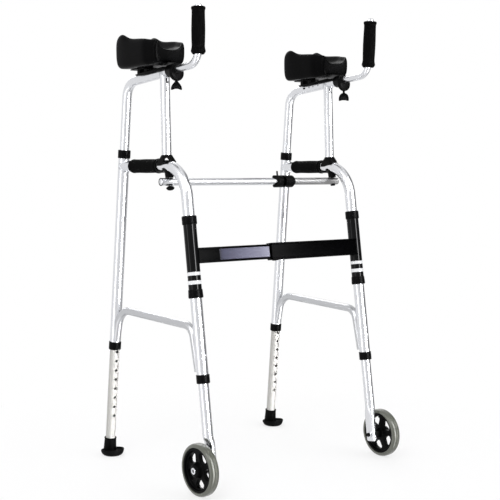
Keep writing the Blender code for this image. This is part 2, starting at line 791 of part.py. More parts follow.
def axle_bolt(side, joint):
    face = WHEEL_OUT + HUB_OUTER_HEIGHT + GAP
    nut_face = -TONGUE_INSET - TONGUE_THICKNESS / 2 - BOSS_HEIGHT - GAP
    profile = [
        (0, face + AXLE_HEAD_HEIGHT - 0.001),
        (0.0022, face + AXLE_HEAD_HEIGHT - 0.001),
        (0.0028, face + AXLE_HEAD_HEIGHT),
        (0.0050, face + AXLE_HEAD_HEIGHT),
        (AXLE_HEAD_RADIUS, face + 0.0012),
        (AXLE_HEAD_RADIUS, face),
        (AXLE_RADIUS, face),
        (AXLE_RADIUS, nut_face),
        (AXLE_NUT_RADIUS, nut_face),
        (AXLE_NUT_RADIUS, nut_face - AXLE_NUT_HEIGHT + 0.001),
        (AXLE_NUT_RADIUS - 0.0012, nut_face - AXLE_NUT_HEIGHT),
        (0, nut_face - AXLE_NUT_HEIGHT),
    ]
    made = turned(profile, axle_place(side), outboard(side), FINE_SIDES)
    finish_part(made, f"axle_bolt_{side}", "steel", joint)


def sleeve(side):
    """The gloss sleeve in which the front leg turns, with a ring at each end."""
    centre = front_leg_point(side, (SLEEVE_TOP_Z + SLEEVE_BOTTOM_Z) / 2)
    half = (SLEEVE_TOP_Z - SLEEVE_BOTTOM_Z) / 2 / math.cos(FRONT_LEAN)
    bore = around(LEG_DIAMETER / 2)
    skin = bore + SLEEVE_WALL
    ring = skin + SLEEVE_RING_WALL - 0.001
    reach = half + SLEEVE_RING_HEIGHT / 2
    profile = [
        (bore, reach),
        (ring - 0.002, reach),
        (ring, reach - 0.003),
        (ring, half - SLEEVE_RING_HEIGHT / 2),
        (skin, half - SLEEVE_RING_HEIGHT / 2),
        (skin, -half + SLEEVE_RING_HEIGHT / 2),
        (ring - 0.001, -half + SLEEVE_RING_HEIGHT / 2),
        (ring, -half - SLEEVE_RING_HEIGHT / 4),
        (ring - 0.001, -reach),
        (bore, -reach),
    ]
    made = turned(profile, centre, FOLD_AXIS)
    return finish_part(made, f"sleeve_{side}", "black_gloss")


def crossbar_centre(x):
    place = Vector((x, front_y(CROSSBAR_Z), CROSSBAR_Z))
    return place - FOLD_BACK * CROSSBAR_FORWARD


def crossbar_half(name, start_x, end_x, grow, hollow):
    """One half of the crossbar: a flat box whose long edges stand proud as rims."""
    centre = crossbar_centre((start_x + end_x) / 2)
    length = abs(end_x - start_x)
    height = CROSSBAR_HEIGHT + 2 * grow
    depth = CROSSBAR_DEPTH + 2 * grow
    made = box(centre, (length, depth, height), -FRONT_LEAN)
    finish_part(made, name, "black_gloss")
    for index, edge in enumerate((-1, 1)):
        place = centre + FOLD_AXIS * edge * (height - CROSSBAR_RIM) / 2
        rim = box(place, (length - 2 * GAP, depth + 0.0030, CROSSBAR_RIM), -FRONT_LEAN, 0.0012)
        combine(made, as_cutter(rim, f"{name}_rim_{index}"), "UNION")
    if hollow:
        inside = (CROSSBAR_DEPTH + 2 * GAP + 0.0030, CROSSBAR_HEIGHT + 2 * GAP)
    else:
        inside = (CROSSBAR_DEPTH - 2 * CROSSBAR_WALL, CROSSBAR_HEIGHT - 2 * CROSSBAR_WALL)
    return made, centre, inside


def crossbar():
    """Two halves: the left one slides over the right one, and both end in their sleeve's flank."""
    grow = 0.0030
    inner_end = CROSSBAR_SPLICE_X + CROSSBAR_OVERLAP
    right, centre, inside = crossbar_half(
        "crossbar_right_half", -HALF_SPACING, inner_end, 0.0, False)
    bore = box(centre, (inner_end + HALF_SPACING + 0.02, *inside), -FRONT_LEAN)
    combine(right, as_cutter(bore, "crossbar_right_bore"))
    left, centre, inside = crossbar_half(
        "crossbar_left_half", CROSSBAR_SPLICE_X, HALF_SPACING, grow, True)
    bore = box(centre, (HALF_SPACING - CROSSBAR_SPLICE_X + 0.02, *inside), -FRONT_LEAN)
    combine(left, as_cutter(bore, "crossbar_left_bore"))
    for half, side in ((right, "right"), (left, "left")):
        skin = around(around(LEG_DIAMETER / 2) + SLEEVE_WALL)
        low = front_leg_point(side, CROSSBAR_Z - 0.05)
        high = front_leg_point(side, CROSSBAR_Z + 0.05)
        combine(half, as_cutter(rod(low, high, skin, SIDES), f"sleeve_seat_{side}"))
        beyond = crossbar_centre(SIDE_SIGN[side] * (HALF_SPACING + 0.02))
        trim = box(beyond, (0.04, 0.06, 0.08), -FRONT_LEAN)
        combine(half, as_cutter(trim, f"crossbar_trim_{side}"))


def saddle(side, frame):
    """The moulded saddle: a wedge-shaped block on the handle run, a socket above and a stem below."""
    under = HANDLE_RUN_Z - LEG_DIAMETER / 2 - SADDLE_UNDER_WALL
    top_front = SADDLE_FRONT_Y + SADDLE_TAPER
    top_rear = SADDLE_REAR_Y - SADDLE_TAPER * 0.6
    outline = [
        (SADDLE_FRONT_Y, under + 0.006),
        (SADDLE_FRONT_Y + 0.006, under),
        (SADDLE_REAR_Y - 0.004, under),
        (SADDLE_REAR_Y, under + 0.004),
        (SADDLE_REAR_Y, HANDLE_RUN_Z + 0.010),
        (top_rear, SADDLE_TOP_Z - 0.003),
        (top_rear - 0.003, SADDLE_TOP_Z),
        (top_front + 0.003, SADDLE_TOP_Z),
        (top_front, SADDLE_TOP_Z - 0.003),
        (SADDLE_FRONT_Y, HANDLE_RUN_Z + 0.010),
    ]
    place = at(side, 0, 0, 0)
    block = plate(outline, SADDLE_WIDTH, place, Vector((0, 1, 0)), Vector((0, 0, 1)))
    finish_part(block, f"saddle_{side}", "black_plastic", frame)
    rounding = block.modifiers.new("edges", "BEVEL")
    rounding.width = 0.0025
    rounding.segments = 2
    rounding.limit_method = "ANGLE"
    rounding.angle_limit = math.radians(60)
    post_axis = (post_point(side, 0.9) - post_point(side, 0.8)).normalized()
    ring_top = post_point(side, SADDLE_TOP_Z) + post_axis * SADDLE_RING_HEIGHT
    ring_radius = around(PLATFORM_DIAMETER / 2) + SADDLE_RING_WALL
    ring = rod(post_point(side, HANDLE_RUN_Z + 0.016), ring_top, ring_radius, SIDES)
    combine(block, as_cutter(ring, f"saddle_ring_{side}", frame), "UNION")
    stem_low = fold_point(side, STAY_OFFSET, stay_height(STAY_Z + STAY_DIAMETER / 2 + 2 * GAP))
    stem_high = stem_low + FOLD_AXIS * 0.022
    stem = rod(stem_low, stem_high, SADDLE_STEM_RADIUS, SIDES, SADDLE_STEM_TOP_RADIUS)
    combine(block, as_cutter(stem, f"saddle_stem_{side}", frame), "UNION")
    bore = rod(
        at(side, 0, SADDLE_FRONT_Y - 0.004, HANDLE_RUN_Z), at(side, 0, SADDLE_REAR_Y + 0.02, HANDLE_RUN_Z),
        around(LEG_DIAMETER / 2), SIDES,
    )
    combine(block, as_cutter(bore, f"saddle_bore_{side}", frame))
    socket = rod(post_point(side, HANDLE_RUN_Z), ring_top + post_axis * 0.01, around(PLATFORM_DIAMETER / 2), SIDES)
    combine(block, as_cutter(socket, f"saddle_socket_{side}", frame))
    base_z = HANDLE_RUN_Z + LEG_DIAMETER / 2 + 0.001
    middle = POST_FOOT_Y - 0.002
    triangle = [
        (middle - WINDOW_BASE / 2, base_z),
        (middle + WINDOW_BASE / 2, base_z),
        (middle + 0.003, base_z + WINDOW_HEIGHT),
        (middle - 0.003, base_z + WINDOW_HEIGHT),
    ]
    window_place = at(side, SADDLE_WIDTH / 2, 0, 0)
    window = plate(triangle, SADDLE_WIDTH, window_place, Vector((0, 1, 0)), Vector((0, 0, 1)))
    combine(block, as_cutter(window, f"saddle_window_{side}", frame))
    bolt_hole = rod(stem_low - FOLD_AXIS * 0.005, stem_low + FOLD_AXIS * 0.012, around(BOLT_RADIUS), SIDES)
    combine(block, as_cutter(bolt_hole, f"saddle_bolt_hole_{side}", frame))


def fold_point(side, back, along):
    """A point behind the fold axis by the first distance and up it by the second."""
    foot = at(side, 0, FRONT_FOOT_Y, 0)
    return foot + FOLD_BACK * back + FOLD_AXIS * along


def stay_height(z):
    """Distance up the fold axis at which the stay's bolts reach the height z."""
    return (z + STAY_OFFSET * math.sin(FRONT_LEAN)) / math.cos(FRONT_LEAN)


def stay_place(x, lift=0.0, back=0.0):
    """A point on the stay's own line at x, after the toe-out of the frames."""
    set_back = STAY_OFFSET * math.cos(TOE_OUT)
    foot = Vector((x, FRONT_FOOT_Y, 0))
    along = stay_height(STAY_Z)
    return foot + FOLD_BACK * (set_back + back) + FOLD_AXIS * (along + lift)


def stay_bolt_x(side):
    return SIDE_SIGN[side] * (HALF_SPACING + STAY_OFFSET * math.sin(TOE_OUT))


def scoop(name, x, joint, radius=HINGE_SCOOP_RADIUS, back=0.03):
    """A round cutter across the stay, for an end that is hollowed like a fish's mouth."""
    centre_x = x - HINGE_SCOOP_RADIUS + HINGE_SCOOP_DEPTH
    low = stay_place(centre_x, 0, -0.03)
    high = stay_place(centre_x, 0, back)
    return as_cutter(rod(low, high, radius, 32), name, joint)


def knuckle(name, lift, joint, reach):
    """A hinge knuckle behind the stay, with a web that joins it to its housing."""
    low = stay_place(STAY_HINGE_X, lift - HINGE_KNUCKLE_HEIGHT / 2, HINGE_KNUCKLE_OFFSET)
    high = stay_place(STAY_HINGE_X, lift + HINGE_KNUCKLE_HEIGHT / 2, HINGE_KNUCKLE_OFFSET)
    barrel = as_cutter(rod(low, high, HINGE_KNUCKLE_RADIUS, FINE_SIDES), name, joint)
    middle = stay_place(STAY_HINGE_X + reach / 2, lift, HINGE_KNUCKLE_OFFSET - HINGE_KNUCKLE_RADIUS + 0.0005)
    size = (abs(reach), 2 * HINGE_KNUCKLE_RADIUS - 0.001, HINGE_KNUCKLE_HEIGHT)
    web = as_cutter(box(middle, size, -FRONT_LEAN), name + "_web", joint)
    return barrel, web


def pin_bore(name, joint):
    low = stay_place(STAY_HINGE_X, -0.03, HINGE_KNUCKLE_OFFSET)
    high = stay_place(STAY_HINGE_X, 0.03, HINGE_KNUCKLE_OFFSET)
    return as_cutter(rod(low, high, around(HINGE_PIN_RADIUS, FINE_SIDES), FINE_SIDES), name, joint)


def bolt_bore(name, side, joint):
    low = stay_place(stay_bolt_x(side), -0.02)
    high = stay_place(stay_bolt_x(side), 0.02)
    return as_cutter(rod(low, high, around(BOLT_RADIUS, FINE_SIDES), FINE_SIDES), name, joint)


def stay_right_part(joint):
    """The long tube with its silver end plug, and the black collar that carries the middle knuckle."""
    band_radius = HINGE_RADIUS - HINGE_BAND_WALL
    start = stay_bolt_x("right") - STAY_END_RIGHT
    left = STAY_HINGE_X - HINGE_COLLAR_LEFT
    right = STAY_HINGE_X - HINGE_COLLAR_RIGHT
    band_start = left + HINGE_SCOOP_DEPTH + 0.003
    band_end = STAY_HINGE_X - HINGE_BODY_LEFT + HINGE_SCOOP_DEPTH
    long_tube = tube([stay_place(start), stay_place(band_start + 0.006)], STAY_DIAMETER, STAY_WALL)
    finish_part(long_tube, "stay_tube_long", "aluminium", joint)
    band = rod(stay_place(band_start), stay_place(band_end + 0.002), band_radius, SIDES)
    combine(long_tube, as_cutter(band, "stay_band", joint), "UNION")
    trim = box(stay_place(band_end), (0.024, 0.05, 0.05), -FRONT_LEAN)
    as_cutter(trim, "stay_band_trim", joint)
    mouth_x = STAY_HINGE_X - HINGE_BODY_LEFT
    combine(trim, scoop("stay_band_nose", mouth_x, joint, HINGE_SCOOP_RADIUS - 2 * GAP))
    combine(long_tube, trim)
    combine(long_tube, bolt_bore("stay_bore_right", "right", joint))
    collar_body = rod(stay_place(left), stay_place(right), HINGE_RADIUS, SIDES)
    finish_part(collar_body, "stay_hinge_collar", "black_plastic", joint)
    barrel, web = knuckle("collar_knuckle", 0.0, joint, -0.014)
    combine(collar_body, barrel, "UNION")
    combine(collar_body, web, "UNION")
    combine(collar_body, scoop("collar_mouth", left, joint))
    bore = rod(stay_place(left - 0.01), stay_place(right + 0.012), around(band_radius), SIDES)
    combine(collar_body, as_cutter(bore, "collar_bore", joint))
    combine(collar_body, pin_bore("collar_pin_bore", joint))
    low = stay_place(STAY_HINGE_X, -1.5 * HINGE_KNUCKLE_HEIGHT, HINGE_KNUCKLE_OFFSET)
    high = stay_place(STAY_HINGE_X, 1.5 * HINGE_KNUCKLE_HEIGHT, HINGE_KNUCKLE_OFFSET)
    pin = rod(low, high, HINGE_PIN_RADIUS, FINE_SIDES)
    finish_part(pin, "stay_hinge_pin", "steel", joint)


def stay_left_part(joint):
    """The short tube, its housing with the two outer knuckles, and the bolt that rides on its end."""
    left = STAY_HINGE_X - HINGE_BODY_LEFT
    right = left + HINGE_BODY_LENGTH
    start = left + HINGE_SCOOP_DEPTH + 0.010
    end = stay_bolt_x("left") + STAY_END_LEFT
    short = tube([stay_place(start), stay_place(end)], STAY_DIAMETER, STAY_WALL)
    finish_part(short, "stay_tube_short", "aluminium", joint)
    combine(short, bolt_bore("stay_bore_left", "left", joint))
    half = HINGE_BODY_LENGTH / 2
    bore = around(STAY_DIAMETER / 2)
    middle = stay_place((left + right) / 2)
    profile = [
        (0, half),
        (bore + 0.0020, half),
        (HINGE_RADIUS, half - 0.0060),
        (HINGE_RADIUS, -half),
        (0, -half),
    ]
    body = turned(profile, middle, Vector((1, 0, 0)))
    finish_part(body, "stay_hinge_housing", "black_plastic", joint)
    combine(body, scoop("housing_mouth", left, joint, HINGE_SCOOP_RADIUS, HINGE_SCOOP_BACK))
    slot_size = (2 * HINGE_KNUCKLE_RADIUS + 0.002, 0.020, HINGE_KNUCKLE_HEIGHT + 2 * GAP)
    slot_place = stay_place(STAY_HINGE_X, 0, HINGE_SCOOP_BACK - GAP + 0.010)
    combine(body, as_cutter(box(slot_place, slot_size, -FRONT_LEAN), "housing_slot", joint))
    for name, lift in (("housing_knuckle_low", -1), ("housing_knuckle_high", 1)):
        barrel, web = knuckle(name, lift * (HINGE_KNUCKLE_HEIGHT + GAP), joint, 0.014)
        combine(body, barrel, "UNION")
        combine(body, web, "UNION")
    apex = left + HINGE_SCOOP_DEPTH + GAP
    nose_room = around(HINGE_RADIUS - HINGE_BAND_WALL)
    recess = rod(stay_place(left - 0.02), stay_place(apex), nose_room, SIDES)
    combine(body, as_cutter(recess, "housing_recess", joint))
    hole = rod(stay_place(start - GAP), stay_place(right + 0.01), bore, SIDES)
    combine(body, as_cutter(hole, "housing_bore", joint))
    combine(body, pin_bore("housing_pin_bore", joint))
    tip = STAY_DIAMETER / 2 - GAP
    foot = -STAY_DIAMETER / 2 - GAP
    profile = [
        (0, tip),
        (BOLT_RADIUS, tip),
        (BOLT_RADIUS, foot),
        (BOLT_FOOT_RADIUS, foot),
        (BOLT_FOOT_RADIUS, foot - BOLT_FOOT_HEIGHT + 0.001),
        (BOLT_FOOT_RADIUS - 0.001, foot - BOLT_FOOT_HEIGHT),
        (0, foot - BOLT_FOOT_HEIGHT),
    ]
    bolt = turned(profile, stay_place(stay_bolt_x("left")), FOLD_AXIS, FINE_SIDES)
    finish_part(bolt, "stay_bolt_left", "black_plastic", joint)


def stay_bolt_and_knob(frame):
    """The bolt of the right saddle, with the knob nut under the stay."""
    centre = fold_point("right", STAY_OFFSET, stay_height(STAY_Z))
    foot = -STAY_DIAMETER / 2 - 2 * GAP
    low = foot - KNOB_HEIGHT + 0.003
    bolt = rod(centre + FOLD_AXIS * low, centre + FOLD_AXIS * (STAY_DIAMETER / 2 + 0.010), BOLT_RADIUS, FINE_SIDES)
    finish_part(bolt, "stay_bolt_right", "steel", frame)
    bore = around(BOLT_RADIUS, FINE_SIDES)
    profile = [
        (bore, foot),
        (KNOB_RADIUS - 0.002, foot),
        (KNOB_RADIUS, foot - 0.003),
        (KNOB_RADIUS, foot - KNOB_HEIGHT + 0.002),
        (KNOB_RADIUS - 0.002, foot - KNOB_HEIGHT),
        (bore, foot - KNOB_HEIGHT),
    ]
    knob = turned(profile, centre, FOLD_AXIS, FINE_SIDES)
    finish_part(knob, "stay_knob_nut", "black_plastic", frame)


def handle_grip(side, frame):
    """Foam grip on the handle run, flared in front and chamfered behind."""
    bore = around(LEG_DIAMETER / 2)
    length = HANDLE_GRIP_REAR_Y - HANDLE_GRIP_FRONT_Y
    profile = [
        (bore, length),
        (HANDLE_GRIP_RADIUS - 0.0015, length),
        (HANDLE_GRIP_RADIUS + 0.0008, length - 0.008),
        (HANDLE_GRIP_RADIUS, length * 0.75),
        (HANDLE_GRIP_RADIUS + 0.0006, length * 0.45),
        (HANDLE_GRIP_RADIUS, 0.016),
        (HANDLE_GRIP_FLARE, 0.004),
        (HANDLE_GRIP_FLARE - 0.001, 0),
        (bore, 0),
    ]
    place = at(side, 0, HANDLE_GRIP_FRONT_Y, HANDLE_RUN_Z)
    made = turned(profile, place, Vector((0, 1, 0)))
    finish_part(made, f"handle_grip_{side}", "black_foam", frame)


def trough_section(half_width, top, bottom, floor):
    """Outer and inner chain of one cross-section of the trough, from rim to rim."""
    half_outer = [
        (0.90, top),
        (1.00, top - 0.010),
        (1.00, bottom + 0.55 * (top - bottom)),
        (0.97, bottom + 0.018),
        (0.74, bottom + 0.001),
        (0.40, bottom),
    ]
    half_inner = [
        (0.80, top - 0.001),
        (0.72, top - 0.012),
        (0.64, floor + 0.008),
        (0.52, floor + 0.003),
        (0.36, floor + 0.001),
        (0.18, floor),
    ]
    chains = []
    for half in (half_outer, half_inner):
        left = [(-share * half_width, z) for share, z in half]
        middle = [(0.0, half[-1][1])]
        right = [(share * half_width, z) for share, z in reversed(half)]
        chains.append(left + middle + right)
    return chains


def arm_trough(side, joint):
    """Padded gutter: a coarse cage lofted through its stations, then subdivided."""
    form = bmesh.new()
    rings = []
    for y, half_width, top, bottom, floor in TROUGH_STATIONS:
        outer, inner = trough_section(half_width, top, bottom, floor)
        chain = [form.verts.new((SIDE_SIGN[side] * HALF_SPACING + x, y, z)) for x, z in outer]
        back = [form.verts.new((SIDE_SIGN[side] * HALF_SPACING + x, y, z)) for x, z in reversed(inner)]
        rings.append(chain + back)
    count = len(rings[0])
    for near, far in zip(rings, rings[1:]):
        for i in range(count):
            j = (i + 1) % count
            form.faces.new((near[i], near[j], far[j], far[i]))
    for ring in (rings[0], rings[-1]):
        for i in range(count // 2 - 1):
            form.faces.new((ring[i], ring[i + 1], ring[count - 2 - i], ring[count - 1 - i]))
    bmesh.ops.recalc_face_normals(form, faces=form.faces)
    mesh = bpy.data.meshes.new("arm_trough")
    form.to_mesh(mesh)
    form.free()
    made = bpy.data.objects.new("arm_trough", mesh)
    bpy.context.scene.collection.objects.link(made)
    soften = made.modifiers.new("soften", "SUBSURF")
    soften.levels = 1
    soften.render_levels = 1
    finish_part(made, f"arm_trough_{side}", "black_leatherette", joint)
    cradle = trough_cradle(side, joint)
    combine(made, cradle)


def trough_floor(side, y, drop=0.0):
    """A point on the flat underside of the trough, where its plate lies."""
    return at(side, 0, y, TROUGH_UNDER_Z + (TROUGH_UNDER_Y - y) * TROUGH_UNDER_SLOPE - drop)


def trough_cradle(side, joint):
    """Trims the trough's underside flat over its plate."""
    middle_y = (BRACKET_REAR_Y + BRACKET_FRONT_Y) / 2
    rear = trough_floor(side, middle_y + TROUGH_FLAT_LENGTH / 2)
    front = trough_floor(side, middle_y - TROUGH_FLAT_LENGTH / 2)
    run = rear - front
    tilt = math.atan2(run.z, run.y)
    centre = (rear + front) / 2 - Vector((0, 0, TROUGH_FLAT_DEPTH / 2 - GAP))
    size = (TROUGH_FLAT_WIDTH, run.length, TROUGH_FLAT_DEPTH)
    return as_cutter(box(centre, size, tilt), f"trough_flat_{side}", joint)


def trough_bracket(side, joint):
    """The plate under the trough with two saddle feet on the top tube, joined by a lower strap."""
    rear = trough_floor(side, BRACKET_REAR_Y, BRACKET_PLATE / 2)
    front = trough_floor(side, BRACKET_FRONT_Y, BRACKET_PLATE / 2)
    run = rear - front
    tilt = math.atan2(run.z, run.y)
    top = box((rear + front) / 2, (BRACKET_WIDTH, run.length, BRACKET_PLATE), tilt)
    finish_part(top, f"trough_bracket_{side}", "black_plastic", joint)
    strap_lift = PLATFORM_DIAMETER / 2 - 0.001
    slope = -math.atan(PLATFORM_SLOPE)
    strap_rear = platform_point(side, BRACKET_STRAP_REAR_Y, strap_lift)
    strap_front = platform_point(side, BRACKET_STRAP_FRONT_Y, strap_lift)
    strap_size = (BRACKET_FOOT_WIDTH, (strap_rear - strap_front).length, BRACKET_STRAP_THICKNESS)
    strap = box((strap_rear + strap_front) / 2, strap_size, slope)
    combine(top, as_cutter(strap, f"bracket_strap_{side}", joint), "UNION")
    for index, y in enumerate(BRACKET_FEET_Y):
        high = trough_floor(side, y, BRACKET_PLATE / 2)
        low = platform_point(side, y, strap_lift)
        height = high.z - low.z
        size = (BRACKET_FOOT_WIDTH - 0.001, BRACKET_FOOT_LENGTH, height)
        foot = box((high + low) / 2, size)
        combine(top, as_cutter(foot, f"bracket_foot_{side}_{index}", joint), "UNION")
    seat_rear = platform_point(side, BRACKET_STRAP_REAR_Y + 0.06)
    seat_front = platform_point(side, BRACKET_STRAP_FRONT_Y - 0.06)
    seat = rod(seat_rear, seat_front, around(PLATFORM_DIAMETER / 2), SIDES)
    combine(top, as_cutter(seat, f"bracket_seat_{side}", joint))


def handle_clamp(side, joint):
    """The clamp on the top tube's mouth: a low-hung disc and a boss that reaches over the tube."""
    y = CLAMP_Y[side]
    front = platform_point(side, y - CLAMP_DISC_THICKNESS / 2)
    back = platform_point(side, y + CLAMP_DISC_THICKNESS / 2)
    drop = Vector((0, 0, CLAMP_DISC_Z - platform_z(y)))
    disc = rod(back + drop, front + drop, CLAMP_DISC_RADIUS, 24)
    finish_part(disc, f"handle_clamp_{side}", "black_plastic", joint)
    rounding = disc.modifiers.new("edges", "BEVEL")
    rounding.width = 0.0018
    rounding.segments = 2
    boss_back = back - PLATFORM_AXIS * CLAMP_BOSS_LENGTH
    boss = rod(boss_back, back + PLATFORM_AXIS * 0.004, CLAMP_BOSS_RADIUS, SIDES)
    combine(disc, as_cutter(boss, f"clamp_boss_{side}", joint), "UNION")
    tube_bore = rod(
        boss_back - PLATFORM_AXIS * 0.01, back - PLATFORM_AXIS * CLAMP_TUBE_STOP,
        around(PLATFORM_DIAMETER / 2), SIDES,
    )
    combine(disc, as_cutter(tube_bore, f"clamp_tube_bore_{side}", joint))
    bar_bore = rod(
        boss_back - PLATFORM_AXIS * 0.005, front + PLATFORM_AXIS * 0.005,
        around(BAR_DIAMETER / 2), SIDES,
    )
    combine(disc, as_cutter(bar_bore, f"clamp_bar_bore_{side}", joint))
    centre = at(side, 0, y, CLAMP_DISC_Z)
    hole = rod(
        centre - Vector((0, 0, CLAMP_DISC_RADIUS + 0.002)), centre - Vector((0, 0, 0.008)),
        around(WING_SHANK_RADIUS, HOLE_SIDES),
    )
    combine(disc, as_cutter(hole, f"clamp_screw_hole_{side}", joint))


def wing_screw(side, joint):
    """The wing screw under the clamp, a fan on a short shank."""
    top = CLAMP_DISC_Z - CLAMP_DISC_RADIUS - WING_DROP[side] - GAP
    place = at(side, 0, CLAMP_Y[side], top)
    half_top = WING_TOP_WIDTH / 2
    half_bottom = WING_BOTTOM_WIDTH / 2
    outline = [
        (-half_top * 0.7, 0),
        (half_top * 0.7, 0),
        (half_top + 0.0030, -0.006),
        (half_bottom - 0.0010, -0.014),
        (half_bottom, -WING_HEIGHT + 0.0015),
        (half_bottom - 0.0020, -WING_HEIGHT),
        (0.0050, -WING_HEIGHT + 0.0028),
        (-0.0050, -WING_HEIGHT + 0.0028),
        (-half_bottom + 0.0020, -WING_HEIGHT),
        (-half_bottom, -WING_HEIGHT + 0.0015),
        (-half_bottom + 0.0010, -0.014),
        (-half_top - 0.0030, -0.006),
    ]
    view = math.radians(37)
    across = Vector((math.cos(view), -math.sin(view), 0))
    fan = plate(outline, WING_THICKNESS, place, across, Vector((0, 0, 1)))
    finish_part(fan, f"clamp_wing_screw_{side}", "black_plastic", joint)
    shank = rod(
        place - Vector((0, 0, 0.004)), place + Vector((0, 0, 0.0100 + WING_DROP[side])),
        WING_SHANK_RADIUS, HOLE_SIDES,
    )
    combine(fan, as_cutter(shank, f"wing_shank_{side}", joint), "UNION")


def bar_corner(side):
    return platform_point(side, BAR_UPRIGHT_Y[side])


def grip_axis(side):
    tip = at(side, 0, BAR_TIP_Y[side], PLATFORM_LEVEL_Z + BAR_RISE[side])
    return (tip - bar_corner(side)).normalized(), tip


def handle_bar(side, joint):
    """The bent handle bar, with a bush at its rear end and a domed cap on its upper end."""
    rear = platform_point(side, PLATFORM_FRONT_Y + BAR_INSERT)
    axis, tip = grip_axis(side)
    corners = [rear, bar_corner(side), tip]
    bar = tube(bent_path(corners, [BAR_BEND_RADIUS]), BAR_DIAMETER, BAR_WALL, FINE_SIDES)
    finish_part(bar, f"handle_bar_{side}", "aluminium", joint)
    profile = [
        (0, 0.0040),
        (BAR_CAP_RADIUS * 0.7, 0.0034),
        (BAR_CAP_RADIUS, 0.0018),
        (BAR_CAP_RADIUS + 0.0006, -0.0010),
        (BAR_CAP_RADIUS + 0.0006, -0.0060),
        (0, -0.0060),
    ]
    cap = turned(profile, tip, axis, FINE_SIDES)
    combine(bar, as_cutter(cap, f"bar_cap_{side}", joint), "UNION")
    bush_bore = (BAR_DIAMETER - BAR_WALL) / 2
    ring = [
        (bush_bore, BAR_BUSH_LENGTH),
        (BAR_BUSH_RADIUS, BAR_BUSH_LENGTH),
        (BAR_BUSH_RADIUS, 0),
        (bush_bore, 0),
    ]
    bush = turned(ring, rear, PLATFORM_AXIS, FINE_SIDES)
    combine(bar, as_cutter(bush, f"bar_bush_{side}", joint), "UNION")


def hand_grip(side, joint):
    axis, tip = grip_axis(side)
    corner = bar_corner(side)
    start = tip - axis * GRIP_DROP[side] / axis.z
    bore = around(BAR_DIAMETER / 2, FINE_SIDES)
    length = GRIP_LENGTH
    profile = [
        (bore, length),
        (GRIP_END_RADIUS - 0.003, length),
        (GRIP_END_RADIUS - 0.0005, length - 0.002),
        (GRIP_END_RADIUS - 0.0005, length - 0.006),
        (GRIP_RADIUS, length - 0.018),
        (GRIP_RADIUS + 0.0009, length * 0.5),
        (GRIP_RADIUS, 0.018),
        (GRIP_END_RADIUS, 0.007),
        (GRIP_END_RADIUS - 0.0045, 0),
        (bore + 0.002, 0),
    ]
    made = turned(profile, start, axis)
    finish_part(made, f"hand_grip_{side}", "black_foam", joint)
    corners = [platform_point(side, PLATFORM_FRONT_Y), corner, tip + axis * 0.02]
    path = bent_path(corners, [BAR_BEND_RADIUS])
    hole = tube(path, 2 * (BAR_DIAMETER / 2 + GAP) / math.cos(math.pi / FINE_SIDES), 0.0, FINE_SIDES)
    combine(made, as_cutter(hole, f"hand_grip_bore_{side}", joint))


def turn_outwards(empty, side):
    """Turns a whole side frame about its front leg by the toe-out."""
    empty.rotation_mode = "QUATERNION"
    empty.rotation_quaternion = frame_turn(side).to_quaternion()


def side_frame(side):
    frame = joint_empty(f"fold_joint_{side}", at(side, 0, FRONT_FOOT_Y, 0), FOLD_AXIS)
    front_leg_tube(side, frame)
    rear_leg_tube(side, frame)
    side_brace(side, frame)
    platform_tube(side, frame)
    front_post(side, frame)
    saddle(side, frame)
    handle_grip(side, frame)
    leg = LEG_DIAMETER / 2
    extension = EXTENSION_DIAMETER / 2
    collar(side, "front_leg_collar", front_leg_point(side, FRONT_COLLAR_Z), FOLD_AXIS, leg, extension, frame)
    collar(side, "rear_leg_collar", rear_leg_point(side, REAR_COLLAR_Z), REAR_AXIS, leg, extension, frame)
    collar(side, "upper_collar", rear_leg_point(side, UPPER_COLLAR_Z), -REAR_AXIS, leg, PLATFORM_DIAMETER / 2, frame)
    snap_button(side, "front", frame)
    snap_button(side, "rear", frame)
    rear_slide = joint_empty(f"rear_leg_slide_{side}", rear_leg_point(side, REAR_COLLAR_Z), REAR_AXIS, frame)
    rear_extension(side, rear_slide)
    rubber_foot(side, rear_slide)
    front_slide = joint_empty(f"front_leg_slide_{side}", front_leg_point(side, FRONT_COLLAR_Z), -FOLD_AXIS, frame)
    front_extension(side, front_slide)
    axle_bolt(side, front_slide)
    wheel = joint_empty(f"wheel_joint_{side}", axle_place(side, WHEEL_OUT), outboard(side), front_slide)
    tyre(side, wheel)
    wheel_disc(side, wheel)
    trough = joint_empty(f"trough_slide_{side}", platform_point(side, 0.05), PLATFORM_AXIS, frame)
    arm_trough(side, trough)
    trough_bracket(side, trough)
    clamp = joint_empty(f"handle_slide_{side}", platform_point(side, CLAMP_Y[side]), PLATFORM_AXIS, frame)
    handle_clamp(side, clamp)
    swivel = joint_empty(f"handle_swivel_{side}", platform_point(side, CLAMP_Y[side]), PLATFORM_AXIS, clamp)
    handle_bar(side, swivel)
    hand_grip(side, swivel)
    screw_place = at(side, 0, CLAMP_Y[side], CLAMP_DISC_Z - CLAMP_DISC_RADIUS)
    screw = joint_empty(f"wing_screw_joint_{side}", screw_place, Vector((0, 0, -1)), clamp)
    wing_screw(side, screw)
    return frame


def build():
    frames = {side: side_frame(side) for side in ("right", "left")}
    for side in ("right", "left"):
        sleeve(side)
    crossbar()
    stay_bolt_and_knob(frames["right"])
    pivot = joint_empty("stay_pivot", stay_place(stay_bolt_x("right")), FOLD_AXIS)
    stay_right_part(pivot)
    hinge = joint_empty("stay_hinge", stay_place(STAY_HINGE_X, 0, HINGE_KNUCKLE_OFFSET), FOLD_AXIS, pivot)
    stay_left_part(hinge)
    for side, frame in frames.items():
        turn_outwards(frame, side)


clear_scene()
walker = new_collection("walker")
cutters = new_collection("cutters")
build()
bpy.context.view_layer.update()
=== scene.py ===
"""Looks of the two-wheeled walker with forearm troughs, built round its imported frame.

Side pieces are modelled on the right-hand frame, which stands at -X, and mirrored to the left.
"""

import math

import bmesh
import bpy
import numpy as np
from mathutils import Matrix, Vector


